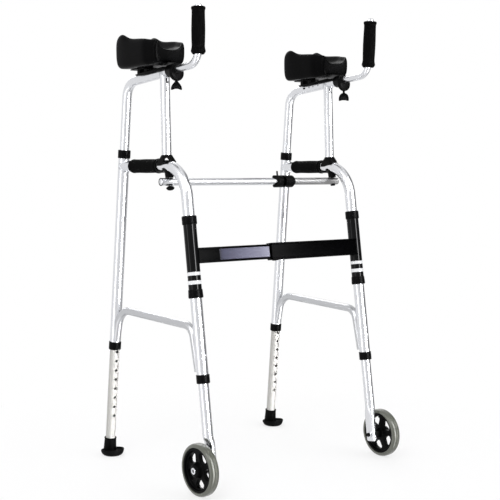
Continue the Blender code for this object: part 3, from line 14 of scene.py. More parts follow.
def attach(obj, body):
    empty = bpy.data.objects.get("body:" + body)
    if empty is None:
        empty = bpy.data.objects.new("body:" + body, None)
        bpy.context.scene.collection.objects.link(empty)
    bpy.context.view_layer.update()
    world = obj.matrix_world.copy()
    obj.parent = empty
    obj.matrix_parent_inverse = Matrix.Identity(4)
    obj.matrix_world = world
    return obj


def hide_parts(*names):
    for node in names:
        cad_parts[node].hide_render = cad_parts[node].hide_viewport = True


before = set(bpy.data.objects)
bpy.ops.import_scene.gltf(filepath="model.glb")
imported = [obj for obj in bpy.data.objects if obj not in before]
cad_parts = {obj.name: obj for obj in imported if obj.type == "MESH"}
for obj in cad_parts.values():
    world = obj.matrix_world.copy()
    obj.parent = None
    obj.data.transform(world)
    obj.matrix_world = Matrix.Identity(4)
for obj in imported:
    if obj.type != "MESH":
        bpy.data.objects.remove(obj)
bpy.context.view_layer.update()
bpy.ops.object.select_all(action="DESELECT")

# Sizes of the real walker, as its source has them, in metres
GAP = 0.0003
HALF_SPACING = 0.263
TOE_OUT = math.radians(1.58)
FRONT_LEAN = math.radians(8.44)
REAR_LEAN = math.radians(5.79)
FRONT_FOOT_Y = -0.2138
REAR_FOOT_Y = 0.2521
LEG = 0.0143
EXTENSION = 0.0127
SUPPORT = 0.0120
BRACE = 0.0100
RUN_Z = 0.7725
FRONT_COLLAR_Z = 0.269
REAR_COLLAR_Z = 0.299
UPPER_COLLAR_Z = 0.804
COLLAR_HEIGHT = 0.021
COLLAR_LIP = 0.004
SUPPORT_LEVEL_Z = 0.9976
SUPPORT_SLOPE = 0.0796
SUPPORT_FRONT_Y = -0.0570
POST_FOOT_Y = -0.0240
POST_FOOT_Z = 0.798
POST_SLOPE = 0.039
HOLE_PITCH = 0.025
REAR_BUTTON_Z = 0.3326
FRONT_BUTTON_Z = 0.3246
WHEEL_RADIUS = 0.0625
WHEEL_OUT = 0.031
HUB_OUT = 0.0192
SLEEVE_TOP_Z = 0.6425
SLEEVE_BOTTOM_Z = 0.469
CROSSBAR_Z = 0.558
CROSSBAR_HEIGHT = 0.037
CROSSBAR_DEPTH = 0.014
CROSSBAR_FORWARD = 0.004
STAY_OFFSET = 0.067
STAY_Z = 0.7335
STAY = 0.0095
HINGE_X = 0.0875
HINGE_RADIUS = 0.0160
SCOOP_RADIUS = 0.0243
SCOOP_DEPTH = 0.0060
KNUCKLE_BACK = 0.0185
KNUCKLE_RADIUS = 0.0050
KNUCKLE_HEIGHT = 0.0080
CLAMP_Y = {"right": -0.066, "left": -0.083}
CLAMP_DISC_Z = 0.9945
BAR_UPRIGHT_Y = {"right": -0.155, "left": -0.179}
BAR_TIP_Y = {"right": -0.155, "left": -0.187}
BAR_TIP_Z = {"right": 1.1440, "left": 1.1520}
FRONT_BEND = 0.088
GRIP_BOTTOM_Z = {"right": 1.0310, "left": 1.0300}
WING_DROP = {"right": 0.0, "left": 0.005}

UP = Vector((0, 0, 1))
OUTBOARD = Vector((-1, 0, 0))
FORWARD = Vector((0, -1, 0))
FOLD_AXIS = Vector((0, math.sin(FRONT_LEAN), math.cos(FRONT_LEAN)))
FOLD_BACK = Vector((0, math.cos(FRONT_LEAN), -math.sin(FRONT_LEAN)))
REAR_AXIS = Vector((0, -math.sin(REAR_LEAN), math.cos(REAR_LEAN)))
REAR_FORWARD = Vector((0, -math.cos(REAR_LEAN), -math.sin(REAR_LEAN)))
SUPPORT_AXIS = Vector((0, -1, SUPPORT_SLOPE)).normalized()
SUPPORT_UP = Vector((0, SUPPORT_SLOPE, 1)).normalized()
HINGE_FOOT = Vector((-HALF_SPACING, FRONT_FOOT_Y, 0))
FRAME_TURN = (
    Matrix.Translation(HINGE_FOOT)
    @ Matrix.Rotation(TOE_OUT, 4, FOLD_AXIS)
    @ Matrix.Translation(-HINGE_FOOT)
)


# Places on the walker

def at(out, y, z):
    """A point of the right frame before its toe-out, by distance outboard, y and z."""
    return Vector((-(HALF_SPACING + out), y, z))


def front_y(z):
    return FRONT_FOOT_Y + math.tan(FRONT_LEAN) * z


def rear_y(z):
    return REAR_FOOT_Y - math.tan(REAR_LEAN) * z


def front_leg_point(z, out=0.0):
    return at(out, front_y(z), z)


def rear_leg_point(z):
    return at(0, rear_y(z), z)


def support_z(y):
    return SUPPORT_LEVEL_Z - SUPPORT_SLOPE * y


def support_point(y, up=0.0, out=0.0):
    return at(out, y, support_z(y)) + SUPPORT_UP * up


def post_point(z):
    return at(0, POST_FOOT_Y + POST_SLOPE * (z - POST_FOOT_Z), z)


def fold_point(back, along):
    return HINGE_FOOT + FOLD_BACK * back + FOLD_AXIS * along


def stay_height(z):
    return (z + STAY_OFFSET * math.sin(FRONT_LEAN)) / math.cos(FRONT_LEAN)


def stay_place(x, lift=0.0, back=0.0):
    foot = Vector((x, FRONT_FOOT_Y, 0))
    set_back = STAY_OFFSET * math.cos(TOE_OUT)
    return foot + FOLD_BACK * (set_back + back) + FOLD_AXIS * (stay_height(STAY_Z) + lift)


def axle_point(out=0.0):
    lowered = WHEEL_OUT * math.sin(TOE_OUT) * math.sin(FRONT_LEAN)
    return front_leg_point(WHEEL_RADIUS + lowered, out)


def crossbar_centre(x):
    return Vector((x, front_y(CROSSBAR_Z), CROSSBAR_Z)) - FOLD_BACK * CROSSBAR_FORWARD


def trough_floor(y, drop=0.0):
    return at(0, y, 1.0145 + (0.1 - y) * 0.008 - drop)


# Ways of working

def only(piece):
    bpy.ops.object.select_all(action="DESELECT")
    piece.select_set(True)
    bpy.context.view_layer.objects.active = piece
    return piece


def open_up(piece):
    """Opens a piece in edit mode with all of it selected."""
    only(piece)
    bpy.ops.object.mode_set(mode="EDIT")
    bpy.ops.mesh.select_mode(type="VERT")
    bpy.ops.mesh.select_all(action="SELECT")


def close_up():
    bpy.ops.object.mode_set(mode="OBJECT")


def pick(piece, test, kind="FACE"):
    """Selects only the faces, edges or points that pass the test."""
    bpy.ops.mesh.select_mode(type=kind)
    bpy.ops.mesh.select_all(action="DESELECT")
    form = bmesh.from_edit_mesh(piece.data)
    parts = {"FACE": form.faces, "EDGE": form.edges, "VERT": form.verts}[kind]
    for part in parts:
        if test(part):
            part.select_set(True)
    form.select_flush_mode()
    bmesh.update_edit_mesh(piece.data)


def put_down(piece):
    """Puts the piece's place and turn into its mesh."""
    only(piece)
    bpy.ops.object.transform_apply(location=True, rotation=True, scale=True)
    return piece


def work(piece, kind, **settings):
    """Gives the piece one modifier and applies it."""
    only(piece)
    modifier = piece.modifiers.new(kind, kind)
    for name, value in settings.items():
        setattr(modifier, name, value)
    bpy.ops.object.modifier_apply(modifier=modifier.name)
    return piece


def round_edges(piece, width, segments=3, angle=35):
    return work(
        piece, "BEVEL", width=width, segments=segments,
        limit_method="ANGLE", angle_limit=math.radians(angle),
    )


def join(*pieces):
    """Lays several pieces together in the first one's mesh."""
    only(pieces[0])
    for piece in pieces[1:]:
        piece.select_set(True)
    bpy.ops.object.join()
    return pieces[0]


def cut(piece, *tools):
    """Takes the tools' shapes out of the piece."""
    for tool in tools:
        work(piece, "BOOLEAN", object=tool, operation="DIFFERENCE", solver="EXACT")
        bpy.data.objects.remove(tool, do_unlink=True)
    return piece


def fuse(piece, *lumps):
    for lump in lumps:
        work(piece, "BOOLEAN", object=lump, operation="UNION", solver="EXACT")
        bpy.data.objects.remove(lump, do_unlink=True)
    return piece


def mould(piece, voxel, passes=4):
    """Melts the joined lumps of a moulding into one skin with small fillets."""
    work(piece, "REMESH", mode="VOXEL", voxel_size=voxel, use_smooth_shade=True)
    return work(piece, "SMOOTH", factor=0.5, iterations=passes)


def tidy_skin(piece):
    """Merges doubled points and turns all faces outwards."""
    open_up(piece)
    bpy.ops.mesh.remove_doubles(threshold=0.00001)
    bpy.ops.mesh.normals_make_consistent(inside=False)
    close_up()


def draw_chain(points):
    """Draws one point out into a chain of edges, and leaves it open in edit mode."""
    bpy.ops.mesh.primitive_plane_add(size=0.001, location=points[0])
    piece = bpy.context.active_object
    open_up(piece)
    bpy.ops.mesh.merge(type="CENTER")
    for here, there in zip(points, points[1:]):
        bpy.ops.mesh.extrude_region_move(TRANSFORM_OT_translate={"value": there - here})
    return piece


def turn(profile, place, axis, steps=64):
    """A turned piece: a chain through (radius, height) points, spun about the axis."""
    across = axis.orthogonal().normalized()
    rims = list(profile)
    if profile[0][0] > 0 or profile[-1][0] > 0:
        rims.append(profile[0])
    piece = draw_chain([place + across * radius + axis * height for radius, height in rims])
    bpy.ops.mesh.select_all(action="SELECT")
    bpy.ops.mesh.spin(steps=steps, angle=2 * math.pi, center=place, axis=axis)
    close_up()
    put_down(piece)
    tidy_skin(piece)
    return piece


def cut_plate(outline, thickness, place, across, up):
    """A flat outline of (across, up) points, filled and drawn out evenly to both sides."""
    through = across.cross(up).normalized()
    back = place - through * thickness / 2
    piece = draw_chain([back + across * x + up * y for x, y in outline])
    bpy.ops.mesh.select_all(action="SELECT")
    bpy.ops.mesh.edge_face_add()
    bpy.ops.mesh.extrude_region_move(TRANSFORM_OT_translate={"value": through * thickness})
    close_up()
    put_down(piece)
    tidy_skin(piece)
    return piece


def corner_arc(before, corner, after, radius):
    """Start, centre, axis and turn of the bend that rounds one corner."""
    towards = (before - corner).normalized()
    onwards = (after - corner).normalized()
    half = towards.angle(onwards) / 2
    start = corner + towards * radius / math.tan(half)
    centre = corner + (towards + onwards).normalized() * radius / math.sin(half)
    axis = (corner - before).cross(after - corner).normalized()
    return start, centre, axis, math.pi - 2 * half


def draw_tube(corners, radii, radius, wall=0.0, sides=48, steps=14):
    """A bent tube: a ring is drawn out along each run and spun round each bend."""
    first = (corners[1] - corners[0]).normalized()
    bpy.ops.mesh.primitive_circle_add(
        vertices=sides, radius=radius, location=corners[0],
        rotation=first.to_track_quat("Z", "Y").to_euler(),
    )
    piece = bpy.context.active_object
    put_down(piece)
    open_up(piece)
    here = corners[0]
    for index, bend in enumerate(radii, 1):
        start, centre, axis, angle = corner_arc(corners[index - 1], corners[index], corners[index + 1], bend)
        bpy.ops.mesh.extrude_region_move(TRANSFORM_OT_translate={"value": start - here})
        # The spin operator turns against the right-hand rule
        bpy.ops.mesh.spin(steps=steps, angle=-angle, center=centre, axis=axis)
        here = centre + Matrix.Rotation(angle, 3, axis) @ (start - centre)
    bpy.ops.mesh.extrude_region_move(TRANSFORM_OT_translate={"value": corners[-1] - here})
    bpy.ops.mesh.select_all(action="SELECT")
    bpy.ops.mesh.remove_doubles(threshold=0.00001)
    if not wall:
        bpy.ops.mesh.fill_holes(sides=0)
    bpy.ops.mesh.normals_make_consistent(inside=False)
    close_up()
    if wall:
        skin = piece.data.polygons[0]
        arm = Vector(skin.center) - corners[0]
        if skin.normal.dot(arm - first * arm.dot(first)) < 0:
            piece.data.flip_normals()
        work(piece, "SOLIDIFY", thickness=wall, offset=-1, use_even_offset=True)
    return piece


def rod(start, end, radius, sides=48):
    return draw_tube([start, end], [], radius, 0.0, sides)


def cone(start, end, radius, end_radius, sides=48):
    run = end - start
    bpy.ops.mesh.primitive_cone_add(
        vertices=sides, radius1=radius, radius2=end_radius, depth=run.length,
        location=(start + end) / 2, rotation=run.to_track_quat("Z", "Y").to_euler(),
    )
    return put_down(bpy.context.active_object)


def block(centre, size, tilt=0.0, bevel=0.0, segments=3):
    bpy.ops.mesh.primitive_cube_add(size=1, location=centre, rotation=(tilt, 0, 0), scale=size)
    piece = put_down(bpy.context.active_object)
    if bevel:
        open_up(piece)
        bpy.ops.mesh.bevel(offset=bevel, segments=segments, affect="EDGES")
        close_up()
    return piece


def bend_line(corners, radii, steps=16):
    line = [corners[0]]
    for index, bend in enumerate(radii, 1):
        start, centre, axis, angle = corner_arc(corners[index - 1], corners[index], corners[index + 1], bend)
        arm = start - centre
        line += [centre + Matrix.Rotation(angle * i / steps, 3, axis) @ arm for i in range(steps + 1)]
    return line + [corners[-1]]


def draw_grain(piece, line, side):
    """Keeps each point's place across and along the tube, for the streaks that drawing leaves."""
    path = np.array([point[:] for point in line])
    starts = path[:-1]
    runs = np.diff(path, axis=0)
    lengths = np.linalg.norm(runs, axis=1)
    behind = np.concatenate([[0.0], np.cumsum(lengths)[:-1]])
    places = np.empty(len(piece.data.vertices) * 3)
    piece.data.vertices.foreach_get("co", places)
    places = places.reshape(-1, 3)
    arms = places[:, None] - starts
    share = np.clip((arms * runs).sum(2) / lengths ** 2, 0, 1)
    offsets = arms - runs * share[..., None]
    best = np.linalg.norm(offsets, axis=2).argmin(1)
    rows = np.arange(len(places))
    offset = offsets[rows, best]
    tangent = (runs / lengths[:, None])[best]
    across = np.array(side[:])
    grain = np.stack([
        offset @ across,
        (offset * np.cross(tangent, across)).sum(1),
        behind[best] + share[rows, best] * lengths[best],
    ], axis=1)
    layer = piece.data.attributes.new("grain", "FLOAT_VECTOR", "POINT")
    layer.data.foreach_set("vector", grain.astype(np.float32).ravel())


def weld_bead(point, small_axis, small, big_axis, big, bead=0.0016, sides=64):
    """The weld round a tube that ends on another one's flank."""
    side = small_axis.cross(big_axis).normalized()
    up = side.cross(small_axis).normalized()
    turn_to = Matrix((side, up, small_axis)).transposed().to_4x4()
    bpy.ops.mesh.primitive_torus_add(
        major_segments=sides, minor_segments=10, major_radius=small + bead * 0.3, minor_radius=bead,
    )
    piece = bpy.context.active_object
    slant = small_axis.dot(big_axis) / up.dot(big_axis)
    open_up(piece)
    form = bmesh.from_edit_mesh(piece.data)
    for vert in form.verts:
        x, y = vert.co.x, vert.co.y
        angle = math.atan2(y, x)
        reach = math.sqrt(max(big ** 2 - min(abs(x), big) ** 2, 0))
        ripple = 1 + 0.10 * math.sin(angle * 22)
        vert.co.z = vert.co.z * ripple - reach - y * slant
    bmesh.update_edit_mesh(piece.data)
    close_up()
    piece.matrix_world = Matrix.Translation(point) @ turn_to
    return put_down(piece)


# Finishes

def tone(code):
    """An sRGB hex colour as the linear colour that a shader takes."""
    channels = [int(code[i:i + 2], 16) / 255 for i in (0, 2, 4)]
    return (*[c / 12.92 if c <= 0.04045 else ((c + 0.055) / 1.055) ** 2.4 for c in channels], 1)


def add_node(tree, kind, sockets=None, **settings):
    """Adds a node, with its settings and with a value or another node's output for each socket."""
    made = tree.nodes.new("ShaderNode" + kind)
    for name, value in settings.items():
        setattr(made, name, value)
    for name, value in (sockets or {}).items():
        if isinstance(value, bpy.types.NodeSocket):
            tree.links.new(value, made.inputs[name])
        else:
            made.inputs[name].default_value = value
    return made


def new_finish(name, **sockets):
    """A material with its shader's plain values set."""
    made = bpy.data.materials.new(name)
    made.use_nodes = True
    shader = made.node_tree.nodes["Principled BSDF"]
    for socket, value in sockets.items():
        shader.inputs[socket.replace("_", " ")].default_value = value
    return made, made.node_tree, shader


def blend_tones(tree, factor, low, high):
    mixed = add_node(tree, "Mix", data_type="RGBA")
    tree.links.new(factor, mixed.inputs[0])
    mixed.inputs[6].default_value = tone(low)
    mixed.inputs[7].default_value = tone(high)
    return mixed.outputs[2]


def spread(tree, value, low, high, start=0.3, end=0.7):
    """Maps a pattern's middle range to the span between two numbers."""
    return add_node(tree, "MapRange", {
        "Value": value, "From Min": start, "From Max": end, "To Min": low, "To Max": high,
    }).outputs["Result"]


def drawn_aluminium(name, low, high, dull, bright):
    """Seamless tube, drawn and anodised silver: near-white metal with faint streaks along its length."""
    made, tree, shader = new_finish(name, Metallic=1.0)
    grain = add_node(tree, "Attribute", attribute_name="grain")
    # Drawing lines lie about 0.3 mm apart, and are drawn at 0.9 mm to show
    streak_place = add_node(tree, "Mapping", {"Vector": grain.outputs["Vector"], "Scale": (1100, 1100, 14)})
    streaks = add_node(tree, "TexNoise", {"Vector": streak_place.outputs[0], "Scale": 1.0, "Detail": 3.0})
    # Handling marks are 30 to 100 mm long
    cloud_place = add_node(tree, "Mapping", {"Vector": grain.outputs["Vector"], "Scale": (60, 60, 10)})
    clouds = add_node(tree, "TexNoise", {"Vector": cloud_place.outputs[0], "Scale": 1.0, "Detail": 4.0})
    colour = blend_tones(tree, clouds.outputs[0], low, high)
    tree.links.new(colour, shader.inputs["Base Color"])
    tree.links.new(spread(tree, streaks.outputs[0], bright, dull), shader.inputs["Roughness"])
    bump = add_node(tree, "Bump", {"Height": streaks.outputs[0], "Strength": 0.04, "Distance": 0.0002})
    tree.links.new(bump.outputs[0], shader.inputs["Normal"])
    return made


def moulded(name, low, high, dull, bright, grain, depth, **sockets):
    """A moulding whose skin has a fine grain of the given size in metres."""
    made, tree, shader = new_finish(name, **sockets)
    place = add_node(tree, "TexCoord")
    fine = add_node(tree, "TexNoise", {"Vector": place.outputs["Object"], "Scale": 1 / grain, "Detail": 4.0})
    broad = add_node(tree, "TexNoise", {"Vector": place.outputs["Object"], "Scale": 40.0, "Detail": 3.0})
    colour = blend_tones(tree, broad.outputs[0], low, high)
    tree.links.new(colour, shader.inputs["Base Color"])
    tree.links.new(spread(tree, fine.outputs[0], bright, dull), shader.inputs["Roughness"])
    bump = add_node(tree, "Bump", {"Height": fine.outputs[0], "Strength": 0.5, "Distance": depth})
    tree.links.new(bump.outputs[0], shader.inputs["Normal"])
    return made


def celled_foam(name):
    """Closed-cell foam rubber: dead black, with small open cells in a skin that scatters what it reflects."""
    made, tree, shader = new_finish(name, Specular_IOR_Level=0.03)
    place = add_node(tree, "TexCoord")
    # Cells are about 0.5 mm across, and are drawn at 1 mm
    cells = add_node(tree, "TexVoronoi", {"Vector": place.outputs["Object"], "Scale": 1000.0, "Randomness": 1.0})
    broad = add_node(tree, "TexNoise", {"Vector": place.outputs["Object"], "Scale": 70.0, "Detail": 3.0})
    tree.links.new(blend_tones(tree, broad.outputs[0], "040404", "0A0A0A"), shader.inputs["Base Color"])
    tree.links.new(spread(tree, cells.outputs[0], 0.55, 0.85, 0.0, 0.8), shader.inputs["Roughness"])
    bump = add_node(tree, "Bump", {"Height": cells.outputs[0], "Strength": 0.3, "Distance": 0.0003})
    tree.links.new(bump.outputs[0], shader.inputs["Normal"])
    return made


def skinned_polyurethane(name):
    """Integral-skin foam, moulded against a fine leather grain: a taut black skin with soft, broad shine."""
    made, tree, shader = new_finish(name, Specular_IOR_Level=0.035)
    place = add_node(tree, "TexCoord")
    # Leather grain of about 1.2 mm, with pores between
    grain = add_node(tree, "TexVoronoi", {"Vector": place.outputs["Object"], "Scale": 830.0}, feature="SMOOTH_F1")
    broad = add_node(tree, "TexNoise", {"Vector": place.outputs["Object"], "Scale": 45.0, "Detail": 3.0})
    tree.links.new(blend_tones(tree, broad.outputs[0], "020202", "040405"), shader.inputs["Base Color"])
    tree.links.new(spread(tree, broad.outputs[0], 0.26, 0.36), shader.inputs["Roughness"])
    bump = add_node(tree, "Bump", {"Height": grain.outputs[0], "Strength": 0.22, "Distance": 0.0003})
    tree.links.new(bump.outputs[0], shader.inputs["Normal"])
    return made


def film_with_painted_reflection(name):
    """Blank vinyl film in a grey-blue, with a painted reflection that runs from deep at its outboard end to pale: a
    soft sheen.
    """
    made, tree, shader = new_finish(name, Specular_IOR_Level=0.25)
    place = add_node(tree, "TexCoord")
    parts = add_node(tree, "SeparateXYZ", {0: place.outputs["Object"]})
    share = add_node(tree, "MapRange", {"Value": parts.outputs["X"], "From Min": -0.191, "From Max": -0.038})
    ramp = add_node(tree, "ValToRGB", {"Fac": share.outputs["Result"]})
    elements = ramp.color_ramp.elements
    # Deep to pale along the bar: painted reflection over the film's grey-blue
    stops = [(0.0, "16161E"), (0.06, "404054"), (0.28, "58586C"), (0.45, "6C6C80"), (0.80, "88889B"), (1.0, "A2A2B4")]
    while len(elements) < len(stops):
        elements.new(0.5)
    for element, (position, code) in zip(elements, stops):
        element.position = position
        element.color = tone(code)
    tree.links.new(ramp.outputs["Color"], shader.inputs["Base Color"])
    fine = add_node(tree, "TexNoise", {"Vector": place.outputs["Object"], "Scale": 300.0, "Detail": 3.0})
    tree.links.new(spread(tree, fine.outputs[0], 0.34, 0.46), shader.inputs["Roughness"])
    return made


def plated_steel(name):
    """Bright zinc plate on turned steel: blue-white, with fine rings left by the tool."""
    made, tree, shader = new_finish(name, Metallic=1.0)
    place = add_node(tree, "TexCoord")
    marks = add_node(tree, "TexNoise", {"Vector": place.outputs["Object"], "Scale": 900.0, "Detail": 3.0})
    tree.links.new(blend_tones(tree, marks.outputs[0], "DCDEE1", "ECEEF0"), shader.inputs["Base Color"])
    tree.links.new(spread(tree, marks.outputs[0], 0.18, 0.34), shader.inputs["Roughness"])
    return made


ALUMINIUM = drawn_aluminium("satin_anodised_drawn_aluminium", "E0E1E4", "E9EAEC", 0.27, 0.20)
# The short stay tube is a darker copy of the tube aluminium: its grey is painted shade
STAY_METAL_WITH_PAINTED_SHADE = drawn_aluminium("stay_aluminium_with_painted_shade", "9C9C9C", "AEAEAE", 0.38, 0.30)
# The braces and the rear inner tubes are rougher and darker copies of the tube aluminium: their darker colour is
# painted shade
BRACE_METAL_WITH_PAINTED_SHADE = drawn_aluminium("brace_aluminium_with_painted_shade", "C2C3C5", "CFD0D2", 0.34, 0.27)
INNER_METAL_WITH_PAINTED_SHADE = drawn_aluminium("inner_aluminium_with_painted_shade", "BAB9B6", "C8C7C4", 0.78, 0.68)
# Weld metal is left as the torch laid it, a little duller than the tube
WELD = moulded("tig_weld_bead", "B9BBBE", "D0D2D5", 0.42, 0.28, 0.0015, 0.0002, Metallic=1.0)
# Glass-filled nylon from a spark-eroded mould: a fine matt grain that goes grey where light grazes it
NYLON = moulded("moulded_black_nylon", "040404", "080809", 0.40, 0.28, 0.0008, 0.0002, Specular_IOR_Level=0.05)
# Stove enamel on the sleeves: deep black, mirror-like with slight orange peel
ENAMEL = moulded(
    "stoved_gloss_black_enamel", "010102", "020203", 0.05, 0.03, 0.004, 0.00004, Specular_IOR_Level=0.16,
)
# Powder coat on the crossbar: black, with a dry, even skin
BAR_COAT = moulded("black_powder_coat", "010102", "030303", 0.36, 0.26, 0.0012, 0.00008, Specular_IOR_Level=0.015)
# Rubber for the feet, moulded and dusty
RUBBER = moulded("moulded_black_rubber", "040404", "090909", 0.62, 0.46, 0.0012, 0.0003, Specular_IOR_Level=0.05)
# Grey non-marking tyre compound, matt, with lighter scuffs scattered at random
TYRE = moulded("grey_tyre_compound", "484A3F", "5D5F54", 0.50, 0.38, 0.0010, 0.0001, Coat_Weight=0.8, Coat_Roughness=0.07)
# Blank vinyl film, white on the sleeves, and grey-blue on the crossbar with a painted reflection from deep to pale
WHITE_FILM = moulded("white_vinyl_film", "E9EAEC", "F3F4F5", 0.40, 0.30, 0.003, 0.00003)
GREY_FILM_AND_PAINTED_REFLECTION = film_with_painted_reflection("grey_blue_film_with_painted_reflection")
FOAM = celled_foam("black_closed_cell_foam")
PAD_SKIN = skinned_polyurethane("black_integral_skin_polyurethane")
STEEL = plated_steel("zinc_plated_steel")


# Dressing

def dress(piece, name, body, finish, nodes=()):
    piece.name = name
    piece.data.name = name
    piece.data.materials.clear()
    piece.data.materials.append(finish)
    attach(piece, body)
    if nodes:
        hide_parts(*nodes)
    return piece


def smooth(piece, angle=35):
    only(piece)
    bpy.ops.object.shade_smooth_by_angle(angle=math.radians(angle))


def mirror(piece):
    """Turns a right-hand piece into a left-hand one."""
    open_up(piece)
    bpy.ops.transform.resize(value=(-1, 1, 1), center_override=(0, 0, 0))
    bpy.ops.mesh.flip_normals()
    close_up()
    return piece


def settle(piece, name, body, finish, slot, *nodes, sides=("right", "left"), fill=None, angle=35):
    """Turns a right-hand piece out with its frame, dresses it, and makes its left-hand twin."""
    piece.matrix_world = FRAME_TURN @ piece.matrix_world
    put_down(piece)
    smooth(piece, angle)
    made = {}
    if len(sides) == 2:
        only(piece)
        bpy.ops.object.duplicate()
        made["left"] = mirror(bpy.context.active_object)
        made["right"] = piece
    elif sides[0] == "left":
        made["left"] = mirror(piece)
    else:
        made["right"] = piece
    for side, twin in made.items():
        names = [f"{node}_{side}" for node in nodes]
        dress(twin, f"{name}_{side}", f"{body}_{side}", finish, names)
    return made


def set_down(piece, name, body, finish, slot, *nodes, angle=35):
    """Dresses a piece that stands between the frames."""
    put_down(piece)
    smooth(piece, angle)
    return dress(piece, name, body, finish, nodes)


# Side frame tubes

def front_leg():
    lip_top = FRONT_COLLAR_Z - (COLLAR_HEIGHT / 2 - COLLAR_LIP - GAP) * math.cos(FRONT_LEAN)
    corners = [front_leg_point(lip_top), front_leg_point(RUN_Z), rear_leg_point(RUN_Z)]
    leg = draw_tube(corners, [FRONT_BEND], LEG, 0.0013, 56, 28)
    hole = front_leg_point(FRONT_BUTTON_Z)
    cut(
        leg,
        rod(rear_leg_point(RUN_Z - 0.04), rear_leg_point(RUN_Z + 0.04), LEG + GAP, 56),
        rod(hole - FOLD_BACK * 0.008, hole - FOLD_BACK * 0.02, 0.0038, 24),
    )
    draw_grain(leg, bend_line(corners, [FRONT_BEND]), OUTBOARD)
    settle(leg, "front_leg", "frame", ALUMINIUM, "tube_aluminium", "front_leg_tube")
    bead = weld_bead(rear_leg_point(RUN_Z), FORWARD * -1, LEG, REAR_AXIS, LEG + 0.0002, 0.0016)
    settle(bead, "handle_run_weld", "frame", WELD, "tube_aluminium")


def rear_leg():
    lip_top = REAR_COLLAR_Z - (COLLAR_HEIGHT / 2 - COLLAR_LIP - GAP) * math.cos(REAR_LEAN)
    upper_lip = UPPER_COLLAR_Z + (COLLAR_HEIGHT / 2 - COLLAR_LIP - GAP) * math.cos(REAR_LEAN)
    ends = [rear_leg_point(lip_top), rear_leg_point(upper_lip)]
    leg = draw_tube(ends, [], LEG, 0.0013, 56)
    hole = rear_leg_point(REAR_BUTTON_Z)
    cut(leg, rod(hole + REAR_FORWARD * 0.008, hole + REAR_FORWARD * 0.02, 0.0038, 24))
    draw_grain(leg, ends, OUTBOARD)
    settle(leg, "rear_leg", "frame", ALUMINIUM, "tube_aluminium", "rear_leg_tube")


def side_brace():
    corners = [
        at(0, rear_y(0.313) - 0.0075, 0.313),
        at(0, 0.193, 0.3985),
        at(0, -0.1305, 0.3895),
        at(0, front_y(0.284) + 0.0156, 0.284),
    ]
    radii = [0.055, 0.035]
    brace = draw_tube(corners, radii, BRACE, 0.0012, 48, 16)
    cut(
        brace,
        rod(rear_leg_point(0.24), rear_leg_point(0.44), LEG + GAP, 56),
        rod(front_leg_point(0.22), front_leg_point(0.44), LEG + GAP, 56),
    )
    draw_grain(brace, bend_line(corners, radii), OUTBOARD)
    settle(brace, "brace", "frame", BRACE_METAL_WITH_PAINTED_SHADE, "tube_aluminium", "side_brace")
    for name, leg_point in (("rear", rear_leg_point), ("front", front_leg_point)):
        # The bead is what a slightly thicker brace and a slightly thicker leg have in common
        bead = draw_tube(corners, radii, BRACE + 0.0013, 0, 48, 16)
        thicker = rod(leg_point(0.24), leg_point(0.44), LEG + 0.0013, 64)
        work(bead, "BOOLEAN", object=thicker, operation="INTERSECT", solver="EXACT")
        bpy.data.objects.remove(thicker, do_unlink=True)
        settle(bead, f"brace_{name}_weld", "frame", WELD, "tube_aluminium", angle=60)


def top_tube():
    slope = math.tan(REAR_LEAN)
    corner_z = (SUPPORT_LEVEL_Z - SUPPORT_SLOPE * REAR_FOOT_Y) / (1 - SUPPORT_SLOPE * slope)
    corners = [rear_leg_point(UPPER_COLLAR_Z - 0.060), rear_leg_point(corner_z), support_point(SUPPORT_FRONT_Y)]
    support = draw_tube(corners, [0.045], SUPPORT, 0.0012, 48, 20)
    inboard = -OUTBOARD
    for y in (0.051, 0.034, 0.012):
        place = support_point(y)
        cut(support, rod(place + inboard * 0.006, place + inboard * 0.02, 0.0022, 20))
    slot = block(support_point(0.073) + inboard * 0.013, (0.014, 0.0100, 0.0046), 0, 0.0015)
    cut(support, slot)
    draw_grain(support, bend_line(corners, [0.045]), OUTBOARD)
    settle(support, "support_tube", "frame", ALUMINIUM, "tube_aluminium", "platform_tube")


def run_core(radius):
    """The handle run and the bend into the front leg, as a solid of the given radius."""
    return draw_tube([at(0, 0.03, RUN_Z), front_leg_point(RUN_Z), front_leg_point(0.66)], [FRONT_BEND], radius, 0, 64, 28)


def front_post():
    ends = [post_point(0.7930), post_point(support_z(POST_FOOT_Y))]
    post = draw_tube(ends, [], SUPPORT, 0.0012, 48)
    hole = post_point(0.975)
    cut(
        post, run_core(LEG + GAP),
        rod(support_point(0.03), support_point(SUPPORT_FRONT_Y - 0.03), SUPPORT + GAP, 48),
        rod(hole + FORWARD * 0.006, hole + FORWARD * 0.02, 0.0022, 20),
    )
    draw_grain(post, ends, OUTBOARD)
    settle(post, "support_post", "frame", ALUMINIUM, "tube_aluminium", "front_post")
    axis = (post_point(0.9) - post_point(0.8)).normalized()
    meet = (support_z(POST_FOOT_Y) - POST_FOOT_Z) * POST_SLOPE + POST_FOOT_Y
    bead = weld_bead(support_point(meet), axis, SUPPORT, SUPPORT_AXIS, SUPPORT + 0.0002, 0.0015)
    settle(bead, "support_post_weld", "frame", WELD, "tube_aluminium")


def collar(name, node, place, axis, outer, inner):
    half = COLLAR_HEIGHT / 2
    skin = outer + 0.0019
    profile = [
        (outer + GAP, half), (skin - 0.0004, half), (skin, half - 0.0006), (skin, half - 0.0040),
        (skin - 0.0003, half - 0.0044), (skin - 0.0003, half - 0.0052), (skin, half - 0.0056),
        (skin, 0.0012 - half), (skin - 0.0012, -half), (inner + GAP, -half),
        (inner + GAP, COLLAR_LIP - half), (outer + GAP, COLLAR_LIP - half),
    ]
    ring = turn(profile, place, axis)
    round_edges(ring, 0.0003, 2)
    settle(ring, name, "frame", NYLON, "black_plastic", node)


